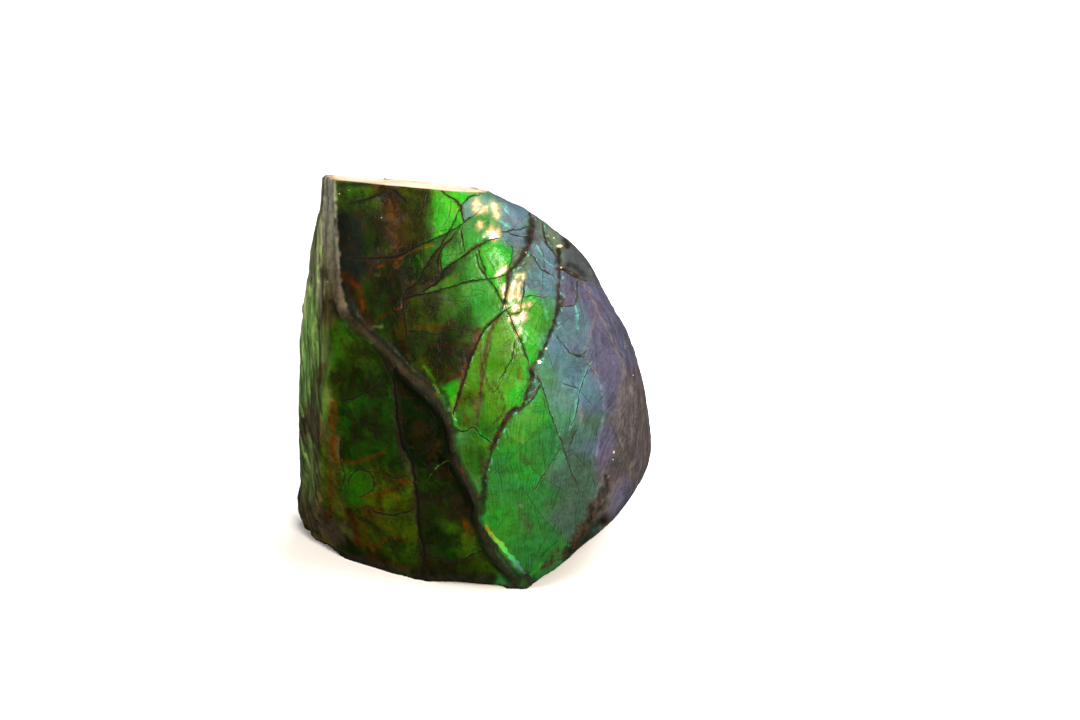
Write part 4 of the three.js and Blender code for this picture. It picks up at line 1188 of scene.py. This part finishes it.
def cutRelief(mesh, skin, lines, masks):
    groove = np.zeros(len(skin.places))
    for field in lines.dark:
        groove = np.maximum(groove, 1 - stepUp(np.abs(field), 0, 1.8))
    depth = relief["groove"] - relief["murkyRelief"] * np.clip(skin.murk, 0, 1)
    layers = fractal(skin.places / mm, 1.0, 3, 80, (0.5, 0.5, 0.07))
    lift = skin.level * relief["plateStep"] * (1 - masks.matrix)
    lift -= groove * depth * (1 - masks.matrix)
    lift -= masks.flank * relief["besideCrest"]
    lift += masks.crest * (relief["crest"] * masks.rough + 0.01 * masks.fine)
    lift += masks.strip * (1 - masks.back) * relief["layers"] * layers
    broken = chunks(skin.places / mm, *relief["chunk"]) + chunks(skin.places / mm, *relief["smallChunk"])
    broken += 0.12 * masks.rough + 0.07 * masks.fine
    lift += stepUp(-skin.facing, 0.15, 0.5) * np.minimum(broken, relief["mostBroken"])
    lift -= masks.back * relief["back"]
    lift += masks.sparkle * relief["sparkle"] * masks.fine
    moved = skin.places + skin.normals * (lift * mm)[:, None]
    foot = skin.places[:, 2] < relief["foot"] * mm
    moved[:, 2] = np.maximum(moved[:, 2], 0)
    moved[foot] = skin.places[foot]
    moved[foot, 2] = 0
    mesh.vertices.foreach_set("co", moved.ravel())
    print("relief cut")


def writeMarks(mesh, skin, lines, masks):
    # Each attribute holds three values, which the finishes take apart again.
    def write(name, *values, kind="FLOAT_VECTOR", key="vector"):
        layer = mesh.attributes.new(name, kind, "POINT")
        packed = np.ascontiguousarray(np.column_stack(values), dtype=np.float32)
        layer.data.foreach_set(key, packed.ravel())

    write("tint", skin.tint, np.ones(len(skin.tint)), kind="FLOAT_COLOR", key="color")
    write("linesA", *lines.dark[:3])
    write("linesB", lines.dark[3], lines.bright, masks.streak)
    write("marksA", masks.matrix, masks.rust, skin.murk)
    write("marksB", masks.strip, masks.sparkle, lines.lip)
    write("hairs", *lines.hairs)
    write("shards", lines.gold, lines.glint, masks.back)


def looseScraps(bm):
    # Pits below the saw cut come off the stone: every vertex that isn't joined to its largest part.
    left = set(bm.verts)
    parts = []
    while left:
        waiting = [left.pop()]
        part = []
        while waiting:
            v = waiting.pop()
            part.append(v)
            near = {e.other_vert(v) for e in v.link_edges} & left
            left -= near
            waiting.extend(near)
        parts.append(part)
    parts.sort(key=len)
    return [v for part in parts[:-1] for v in part]


def measureRim(bm):
    # On the sawn top, how far each point lies from the nacre's edge.
    rimLayer = bm.verts.layers.float.new("rimGap")
    topPoints = {v for f in bm.faces if f.material_index == 1 for v in f.verts}
    front = [f for f in bm.faces if f.material_index == 0 and f.normal.dot(nearAxis) > 0.1]
    frontRim = topPoints & {v for f in front for v in f.verts}
    rimTree = kdtree.KDTree(len(frontRim))
    for i, v in enumerate(frontRim):
        rimTree.insert(v.co, i)
    rimTree.balance()
    for v in topPoints:
        v[rimLayer] = rimTree.find(v.co)[2] / mm


def sawTop(mesh):
    bm = bmesh.new()
    bm.from_mesh(mesh)
    cut, sawNormal = sawPlane()
    geometry = bm.verts[:] + bm.edges[:] + bm.faces[:]
    sliced = bmesh.ops.bisect_plane(bm, geom=geometry, dist=1e-7, plane_co=cut, plane_no=sawNormal,
                                    clear_outer=True)
    cutPoints = [v for v in sliced["geom_cut"] if isinstance(v, bmesh.types.BMVert)]
    bmesh.ops.remove_doubles(bm, verts=cutPoints, dist=0.02 * mm)
    bmesh.ops.delete(bm, geom=looseScraps(bm), context="VERTS")
    rim = [e for e in bm.edges if e.is_boundary]
    filled = bmesh.ops.holes_fill(bm, edges=rim, sides=0)
    for f in bm.faces:
        f.smooth = True
    for f in filled["faces"]:
        f.smooth = False
        f.material_index = 1
        for e in f.edges:
            e.smooth = False
    for axis, reach in zip((acrossAxis, nearAxis), stone["gridReach"]):
        for offset in np.arange(-reach, reach, stone["topGrid"]):
            top = [f for f in bm.faces if f.material_index == 1]
            parts = top + list({e for f in top for e in f.edges}) + list({v for f in top for v in f.verts})
            place = cut + axis * offset * mm
            bmesh.ops.bisect_plane(bm, geom=parts, dist=1e-7, plane_co=place, plane_no=axis)
    bmesh.ops.triangulate(bm, faces=[f for f in bm.faces if len(f.verts) > 4])
    bmesh.ops.recalc_face_normals(bm, faces=bm.faces)
    measureRim(bm)
    bm.to_mesh(mesh)
    triangles = sum(len(f.verts) - 2 for f in bm.faces)
    openEdges = sum(1 for e in bm.edges if not e.is_manifold)
    bm.free()
    print("top sawn:", triangles, "triangles,", openEdges, "open edges")


def makeStone():
    piece = refinedCopy(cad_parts["ammolite_fossil"])
    mesh = piece.data
    skin = readSkin(mesh)
    lines = layLines(skin)
    masks = maskGrounds(skin, lines)
    colourStone(skin, lines, masks)
    cutRelief(mesh, skin, lines, masks)
    writeMarks(mesh, skin, lines, masks)
    mesh.materials.clear()
    mesh.materials.append(nacreFinish())
    mesh.materials.append(sawnFinish())
    sawTop(mesh)

    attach(piece, "root")
    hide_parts("ammolite_fossil")
    return piece


gloss = {
    "metal": 0.05,
    "nacreRoughness": 0.33,
    "matrixRoughness": 0.8,
    "coat": 0.06,
    "goldCoat": 0.25,
    "coatRoughness": 0.1,
    "specular": 0.1,
    "growthLine": 0.46,  # mm between growth lines
    "growthFrom": 6,  # across, where they stand upright
}
stainsAndHighlights = {
    "film": (0.0065, 0.0048, 0.0008),
    "rustCloud": (0.024, 0.0082, 0.0006),
    "darkSeam": (0.0030, 0.0026, 0.0006),
    "rustySeam": (0.014, 0.006, 0.0008),
    "darkVein": (0.022, 0.0065, 0.0005),
    "brightVein": (0.085, 0.024, 0.0012),
    "darkStreak": (0.032, 0.025, 0.020),
    "paleStreak": (0.185, 0.150, 0.140),
    "lowStreak": (0.006, 0.005, 0.004),
    "lowPaleStreak": (0.042, 0.027, 0.017),
    "leftBorder": (0.030, 0.013, 0.0025),
    "rightBorder": (0.030, 0.030, 0.024),
    "murkyBorder": (0.0060, 0.0040, 0.0008),
    "darkHair": (0.010, 0.010, 0.004),
    "brownHair": (0.045, 0.024, 0.008),
    "murkyHair": (0.0035, 0.0028, 0.0010),
    "darkCrack": (0.007, 0.0055, 0.0035),
    "brownCrack": (0.050, 0.030, 0.018),
    "murkyCrack": (0.0035, 0.0030, 0.0016),
    # The gold and glint colours below are partly painted highlights.
    "goldHalo": (0.20, 0.27, 0.07),
    "paleGold": (0.52, 0.37, 0.26),
    "deepGold": (0.29, 0.16, 0.05),
    "greenGold": (0.36, 0.30, 0.06),
    "glint": (0.66, 0.44, 0.27),
}
ironstone = {
    "dark": (0.070, 0.054, 0.037),
    "pale": (0.190, 0.155, 0.115),
    "grey": (0.130, 0.118, 0.100),
    "rusty": (0.190, 0.086, 0.030),
    "brown": (0.045, 0.036, 0.028),
    "grain": (0.30, 0.26, 0.21),
}
# Broken edges from the left of the front to its right, and the crest's lip from its foot upwards.
edgeStops = [
    (0.0, (0.11, 0.21, 0.06)), (0.45, (0.08, 0.30, 0.03)), (0.56, (0.05, 0.42, 0.26)),
    (0.80, (0.06, 0.33, 0.28)), (0.86, (0.15, 0.15, 0.24)), (1.0, (0.11, 0.09, 0.08)),
]
lipStops = [
    (0.0, (0.05, 0.05, 0.05)), (0.2, (0.07, 0.10, 0.12)), (0.40, (0.05, 0.12, 0.12)),
    (0.62, (0.04, 0.40, 0.06)), (0.86, (0.20, 0.36, 0.03)), (1.0, (0.30, 0.12, 0.01)),
]


def nacreNoise(g):
    # The painted marks, and every cloud that more than one layer uses.
    n = SimpleNamespace()
    n.dark = list(g.channels("linesA"))
    lastDark, n.brightLine, n.streak = g.channels("linesB")
    n.dark.append(lastDark)
    n.matrix, n.rust, n.murk = g.channels("marksA")
    n.strip, n.sparkle, n.lip = g.channels("marksB")
    n.hairs = g.channels("hairs")
    n.gold, n.glint, n.back = g.channels("shards")
    n.tint = g.attribute("tint", "Color")

    n.place = g.facePlace()
    n.u = g.add("ShaderNodeSeparateXYZ", {}, {0: n.place})
    n.v = n.u.also("Y")
    n.broad = g.cloud(n.place, 0.25, 4, 0.6, 0.4)
    n.mottle = g.cloud(n.place, 0.9, 6, 0.62, 0.8)
    n.blotch = g.cloud(n.place, 0.5, 6, 0.62, 1.4)
    n.speck = g.cloud(n.place, 5.0, 4, 0.6)
    n.grain = g.cloud(n.place, 14.0, 3, 0.6)
    n.veil = g.cloud(g.facePlace((1, 0.7, 1)), 0.36, 4, 0.55, 0.3)
    n.laminae = g.cloud(g.facePlace((4.0, 0.14, 4.0)), 1.0, 3, 0.6)
    n.pebble = g.cloud(n.place, 0.9, 8, 0.65)
    return n


def growthLines(g, n):
    # A little crooked, drawing together towards the tip, with fibres between them.
    swing = g.cloud(g.facePlace((1, 0.4, 1)), 0.22, 2) * 4.0
    drift = (n.u - gloss["growthFrom"]) * (1.5 - n.v * 0.03).atLeast(0.65) + swing
    growth = (drift * (2 * math.pi / gloss["growthLine"])).sine() * 0.5 + 0.5
    growth = growth * g.cloud(g.facePlace((1.2, 0.2, 1)), 0.9, 4, 0.7).ramp(0.34, 0.60)
    n.growth = growth * (0.3 + n.u.ramp(1, 4) * n.v.ramp(16, 26, 1, 0) * 0.5)
    fibrePlace = g.add("ShaderNodeCombineXYZ", {}, {0: drift * 2.2, 1: n.v * 0.22, 2: 0.0})
    n.fibre = g.cloud(fibrePlace, 1.0, 4, 0.6)


def overlappingFlakes(g, n):
    # Each a little lighter or darker, with crisp edges, and healed seams between them.
    bend = g.scaled(g.cloud(n.place, 0.6, 4, 0.6).also("Color"), 3.4)
    flakePlace = g.vector("ADD", g.facePlace((1, 0.75, 1)), bend)
    cells = g.add("ShaderNodeTexVoronoi", {}, {"Vector": flakePlace, "Scale": 0.34}, "Color")
    n.flake = g.add("ShaderNodeSeparateXYZ", {}, {0: cells})
    n.flakeHue = n.flake.also("Y")
    n.seams = g.cracks(flakePlace, 0.62)


def mottledPlates(g, n):
    # Dark plates glow unevenly, as if through brown glass.
    glow = n.veil.ramp(0.36, 0.64, 0.45, 1.5)
    hue = 0.5 + (n.broad - 0.5) * 0.08 + (n.mottle - 0.5) * 0.05
    hue = hue + (n.flakeHue - 0.5) * 0.022 + (n.fibre - 0.5) * 0.03
    pattern = (n.mottle.ramp(0.34, 0.66) - 0.5) * (0.32 + n.murk * 0.2)
    pattern = pattern + (n.blotch.ramp(0.36, 0.64) - 0.5) * (0.4 - n.murk * 0.2)
    pattern = pattern + (n.speck - 0.5) * 0.4 + (n.flake - 0.5) * 0.4 + (n.fibre - 0.5) * 1.1
    value = (1.0 + pattern * (0.62 + n.murk * 0.15) - n.growth * 0.4) * glow ** n.murk
    return g.shaded(n.tint, value.atLeast(0.1), hue, 1.04)


def filmAndRust(g, n, body):
    # Brown film over the darker plates, rusty clouds, a net of healed seams and rusty veins.
    n.film = g.cloud(n.place, 0.28, 4, 0.55, 0.3).ramp(0.47, 0.66) * n.murk * 0.6
    body = g.blend(n.film, body, stainsAndHighlights["film"])
    rustClouds = g.cloud(n.place, 0.36, 4, 0.5, 0.3).ramp(0.52, 0.70) * (0.04 + n.murk * 0.16)
    body = g.blend(rustClouds, body, stainsAndHighlights["rustCloud"])
    n.network = n.seams.ramp(0.02, 0.12, 1, 0) * n.veil.ramp(0.60, 0.42) * (0.10 + n.murk * 0.6)
    seamColour = g.blend(n.broad.ramp(0.45, 0.6), stainsAndHighlights["darkSeam"], stainsAndHighlights["rustySeam"])
    body = g.blend(n.network, body, seamColour)
    patchy = (n.mottle + (n.speck - 0.5) * 0.15).ramp(0.42, 0.62)
    n.rusted = (n.rust * patchy).atMost(1) * 0.45
    alongFibres = (n.mottle * 0.5 + n.fibre * 0.5).ramp(0.42, 0.60)
    return g.blend(n.rusted, body, g.blend(alongFibres, stainsAndHighlights["darkVein"], stainsAndHighlights["brightVein"]))


def brownStreaks(g, n, body):
    # Towards the right, and along the broken lower edge.
    streaky = g.cloud(g.facePlace((1.5, 0.22, 1)), 1.0, 6, 0.7, 0.5)
    right = (n.u + (n.blotch - 0.5) * 6).ramp(17.5, 22)
    body = g.blend(right * streaky.ramp(0.44, 0.62) * 0.7, body, stainsAndHighlights["darkStreak"])
    body = g.blend(right * streaky.ramp(0.46, 0.32) * 0.65, body, stainsAndHighlights["paleStreak"])
    lowColour = g.blend(streaky.ramp(0.38, 0.60), stainsAndHighlights["lowStreak"], stainsAndHighlights["lowPaleStreak"])
    return g.blend(n.streak * (0.9 - n.mottle.ramp(0.5, 0.6) * 0.6), body, lowColour)


def layeredSide(g, n, body):
    # The broken left side: layers on edge.
    bend = g.scaled(g.cloud(n.place, 0.2, 3).also("Color"), 1.4)
    n.layers = g.cloud(g.vector("ADD", g.facePlace((1.3, 0.07, 1.3)), bend), 1.0, 4, 0.55)
    shade = 0.42 + n.layers.ramp(0.38, 0.62) + (n.laminae - 0.5) * 1.2 + (n.mottle - 0.5) * 0.7
    hue = 0.5 + (n.layers - 0.5) * 0.06
    return g.blend(n.strip, body, g.shaded(n.tint, shade.atLeast(0.1), hue, 0.92))


def strongest(fields, measure):
    found = [measure(field) for field in fields]
    most = found[0]
    for other in found[1:]:
        most = most.atLeast(other)
    return most


def cracksAndEdges(g, n, body):
    # Broken edges take the colour of their side of the stone.
    edgeColour = g.band((n.u + 24) / 48, edgeStops)
    bright = (n.brightLine.size() + (n.speck - 0.5) * 1.2).ramp(0.5, 1.3, 1, 0) * n.mottle.ramp(0.38, 0.6)
    body = g.blend(bright * (0.65 - n.murk * 0.3), body, edgeColour)

    # Cracks: a dark core, a stained border and, in places, a bright broken rim on one side.
    ragged = (n.speck - 0.5) * 0.7 + (n.mottle - 0.5) * 0.7
    n.core = strongest(n.dark, lambda field: (field.size() + ragged).ramp(0.2, 1.15, 1, 0))
    n.border = strongest(n.dark, lambda field: (field.size() + ragged).ramp(0.9, 3.4, 1, 0))
    rim = strongest(n.dark, lambda field: field.ramp(1.0, 1.5) * field.ramp(1.9, 2.7, 1, 0))
    hair = strongest(n.hairs, lambda field: field.size().ramp(0.3, 1.4, 1, 0))
    n.hair = hair * n.mottle.ramp(0.34, 0.52) * (1 - n.strip)
    n.rim = rim * g.cloud(n.place, 1.3, 3).ramp(0.52, 0.64) * (1 - n.murk * 1.3).atLeast(0)

    borderColour = g.blend(n.u.ramp(2, 9), stainsAndHighlights["leftBorder"], stainsAndHighlights["rightBorder"])
    borderColour = g.blend(n.murk, borderColour, stainsAndHighlights["murkyBorder"])
    body = g.blend(n.border * n.blotch.ramp(0.40, 0.60) * 0.75, body, borderColour)
    body = g.blend(n.rim * 0.7, body, edgeColour)
    lip = (n.lip + (n.speck - 0.5) * 0.5).ramp(0.6, 1.3, 1, 0)
    body = g.blend(lip * (0.55 + n.mottle * 0.5), body, g.band((n.v + 5.3) / 8.5, lipStops))
    hairColour = g.blend(n.broad.ramp(0.45, 0.55), stainsAndHighlights["darkHair"], stainsAndHighlights["brownHair"])
    body = g.blend(n.hair * 0.6, body, g.blend(n.murk, hairColour, stainsAndHighlights["murkyHair"]))
    brown = n.mottle.ramp(0.42, 0.62) * n.u.ramp(-3, 4)
    coreColour = g.blend(brown, stainsAndHighlights["darkCrack"], stainsAndHighlights["brownCrack"])
    return g.blend(n.core * 0.88, body, g.blend(n.murk, coreColour, stainsAndHighlights["murkyCrack"]))


def goldAndGlints(g, n, body):
    # Painted highlights: the gold shards and their yellow-green halo are partly the nacre's gold and partly
    # painted highlight, the glints are painted cream highlights, and the coat adds real shine.
    halo = (n.gold + (n.mottle - 0.5) * 3.0).ramp(0.8, 3.8, 1, 0) * (1 - n.core)
    body = g.blend(halo * 0.6, body, stainsAndHighlights["goldHalo"])
    ragged = n.gold + (n.mottle - 0.5) * 3.4 + (n.speck - 0.5) * 1.2
    n.goldMask = ragged.ramp(0.7, 2.0, 1, 0) * (1 - n.core) * (1 - n.hair * 0.8)
    goldEdge = (n.gold + (n.speck - 0.5) * 2.4).ramp(0.3, 1.6)
    goldColour = g.blend(goldEdge, stainsAndHighlights["paleGold"], stainsAndHighlights["deepGold"])
    greenish = g.cloud(g.facePlace((2.6, 0.8, 1)), 1.0, 3).ramp(0.52, 0.62) * 0.7
    body = g.blend(n.goldMask, body, g.blend(greenish, goldColour, stainsAndHighlights["greenGold"]))
    glintMask = (n.glint + (n.speck - 0.5) * 1.2).ramp(0.6, 1.3, 1, 0)
    n.shine = (n.goldMask + glintMask).atMost(1)
    return g.blend(glintMask, body, stainsAndHighlights["glint"])


def ironstoneOver(g, n, body):
    # The crest and the foot keep their painted tone, and the back is rusty rubble.
    shade = 0.6 + n.pebble.ramp(0.34, 0.66) * 0.6 + (n.laminae - 0.5) * 0.9
    front = g.shaded(n.tint, shade)
    back = g.blend(n.pebble.ramp(0.34, 0.64), ironstone["dark"], ironstone["pale"])
    back = g.blend(n.broad.ramp(0.42, 0.60) * 0.6, back, ironstone["grey"])
    back = g.blend(g.cloud(n.place, 0.32, 5).ramp(0.5, 0.66) * 0.75, back, ironstone["rusty"])
    back = g.blend(g.cloud(n.place, 0.2, 4, 0.6).ramp(0.56, 0.66) * 0.6, back, ironstone["brown"])
    back = g.blend(n.speck.ramp(0.60, 0.75) * 0.4, back, ironstone["grain"])
    return g.blend(n.matrix, body, g.blend(n.back, front, back))


def fineRelief(g, n):
    # Height in mm of what is too fine to model.
    shell = g.facets(n.place, 0.5) * 0.05
    shell = shell + g.facets(n.place, 1.7) * (n.sparkle * 0.01 + n.goldMask * 0.15)
    shell = shell + (n.speck - 0.5) * 0.012 + (n.fibre - 0.5) * 0.015 + (n.mottle - 0.5) * 0.03
    shell = shell + n.flake * 0.025 + n.rim * 0.03
    shell = shell - n.growth * 0.005 - n.core * 0.10 - n.hair * 0.02 - n.network * 0.02
    earth = n.pebble * (0.08 + n.back * 0.14) + n.grain * (0.015 + n.back * 0.025)
    return shell * (1 - n.matrix) + earth * n.matrix + (n.layers * 0.12 + n.laminae * 0.05) * n.strip


def nacreFinish():
    g = Graph("nacreAndIronstone")
    n = nacreNoise(g)
    growthLines(g, n)
    overlappingFlakes(g, n)
    body = mottledPlates(g, n)
    for layer in (filmAndRust, brownStreaks, layeredSide, cracksAndEdges, goldAndGlints, ironstoneOver):
        body = layer(g, n, body)

    dull = n.matrix.ramp(0, 0.4).atLeast(n.core).atLeast(n.border * 0.95)
    dull = dull.atLeast(n.rusted * 0.7).atLeast(n.film * 0.4).atLeast(n.strip * 0.35) * (1 - n.shine)
    duller = gloss["matrixRoughness"] - gloss["nacreRoughness"]
    roughness = gloss["nacreRoughness"] + (n.speck - 0.5) * 0.12 - n.shine * 0.15 + dull * duller
    return g.finish({
        "Base Color": body,
        "Roughness": roughness,
        "Metallic": (1 - dull) * gloss["metal"],
        "Specular IOR Level": gloss["specular"],
        "Coat Weight": (1 - dull) * (gloss["coat"] + n.shine * gloss["goldCoat"]),
        "Coat Roughness": gloss["coatRoughness"],
        "Normal": g.bumped(fineRelief(g, n)),
    })


sawnTone = {
    "dark": (0.56, 0.47, 0.34),
    "pale": (0.74, 0.66, 0.51),
    "spot": (0.50, 0.34, 0.19),
    "vein": (0.44, 0.30, 0.18),
    "sawMark": (0.60, 0.51, 0.39),
    "darkRim": (0.20, 0.09, 0.03),
    "paleRim": (0.50, 0.26, 0.10),
    "nacreEdge": (0.05, 0.032, 0.018),
}


def sawnFinish():
    g = Graph("sawnTop")
    place = g.facePlace()
    cloudy = g.cloud(place, 0.22, 5, 0.6)
    bend = g.scaled(g.cloud(place, 0.3, 4).also("Color"), 6)
    vein = g.cracks(g.vector("ADD", place, bend), 0.13)
    sawMarks = g.cloud(g.facePlace((0.12, 1.0, 2.6)), 1.0, 3)
    tone = g.blend(cloudy.ramp(0.35, 0.65), sawnTone["dark"], sawnTone["pale"])
    tone = g.blend(g.cloud(place, 1.4, 5).ramp(0.60, 0.75) * 0.4, tone, sawnTone["spot"])
    tone = g.blend(vein.ramp(0.0, 0.035, 1, 0) * 0.5, tone, sawnTone["vein"])
    tone = g.blend((sawMarks - 0.35) * 0.5, tone, sawnTone["sawMark"])
    gap = g.attribute("rimGap", "Fac") + (cloudy - 0.5) * 0.8
    rimTone = g.blend(cloudy.ramp(0.4, 0.6), sawnTone["darkRim"], sawnTone["paleRim"])
    tone = g.blend(gap.ramp(0.6, 1.2, 1, 0) * 0.8, tone, rimTone)
    tone = g.blend(gap.ramp(0.05, 0.25, 1, 0) * 0.8, tone, sawnTone["nacreEdge"])
    height = sawMarks * 0.05 + cloudy * 0.08
    return g.finish({
        "Base Color": tone,
        "Roughness": 0.45 + cloudy * 0.2,
        "Normal": g.bumped(height, 0.6),
    })


studio = {
    "floorRadius": 6.0,
    "floorInShade": (0.05, 0.05, 0.05),  # what the floor throws back on to the stone
    "floorSeen": (0.90, 0.875, 0.87),
    "worldLight": 0.18,
    "worldSeen": 1.0,
    "target": Vector((0, 0, 0.027)),
    "lamps": {
        "key": {"azimuth": 15, "elevation": 21, "distance": 0.5, "size": (0.13, 0.17), "watts": 5.0,
                "colour": (1.0, 0.93, 0.80)},
        "top": {"azimuth": 105, "elevation": 64, "distance": 0.6, "size": (0.5, 0.5), "watts": 6.5,
                "colour": (1.0, 0.98, 0.95)},
        "fill": {"azimuth": -62, "elevation": 28, "distance": 0.6, "size": (0.3, 0.4), "watts": 1.8,
                 "colour": (1.0, 0.98, 0.94), "soft": True},
    },
}


def makeFloor():
    bm = bmesh.new()
    bmesh.ops.create_circle(bm, cap_ends=True, radius=studio["floorRadius"], segments=96)
    mesh = bpy.data.meshes.new("floor")
    bm.to_mesh(mesh)
    bm.free()
    floor = addObject("floor", mesh)
    g = Graph("paleFloor")
    seen = g.add("ShaderNodeLightPath", {}, {}, "Is Camera Ray")
    tone = g.blend(seen, studio["floorInShade"], studio["floorSeen"])
    mesh.materials.append(g.finish({"Base Color": tone, "Roughness": 0.9, "Specular IOR Level": 0.1}))


def makeLight(name, plan):
    data = bpy.data.lights.new(name, "AREA")
    data.shape = "RECTANGLE"
    data.size, data.size_y = plan["size"]
    data.energy = plan["watts"]
    data.color = plan["colour"]
    lamp = addObject(name, data)
    lamp.visible_glossy = not plan.get("soft", False)  # a soft lamp leaves no shine
    turn = math.radians(plan["azimuth"])
    rise = math.radians(plan["elevation"])
    towards = Vector((math.sin(turn) * math.cos(rise), -math.cos(turn) * math.cos(rise), math.sin(rise)))
    lamp.location = studio["target"] + towards * plan["distance"]
    lamp.rotation_euler = towards.to_track_quat("Z", "Y").to_euler()


def makeWorld():
    world = bpy.data.worlds.new("world")
    bpy.context.scene.world = world
    world.use_nodes = True
    tree = world.node_tree
    background = tree.nodes["Background"]
    background.inputs["Color"].default_value = (1, 1, 1, 1)
    path = tree.nodes.new("ShaderNodeLightPath")
    strength = tree.nodes.new("ShaderNodeMapRange")
    strength.inputs["To Min"].default_value = studio["worldLight"]
    strength.inputs["To Max"].default_value = studio["worldSeen"]
    tree.links.new(path.outputs["Is Camera Ray"], strength.inputs["Value"])
    tree.links.new(strength.outputs[0], background.inputs["Strength"])


bpy.context.scene.view_settings.view_transform = "Standard"
makeCamera()
makeStone()
makeFloor()
for lampName, lampPlan in studio["lamps"].items():
    makeLight(lampName, lampPlan)
makeWorld()
print("floor and lights ready")
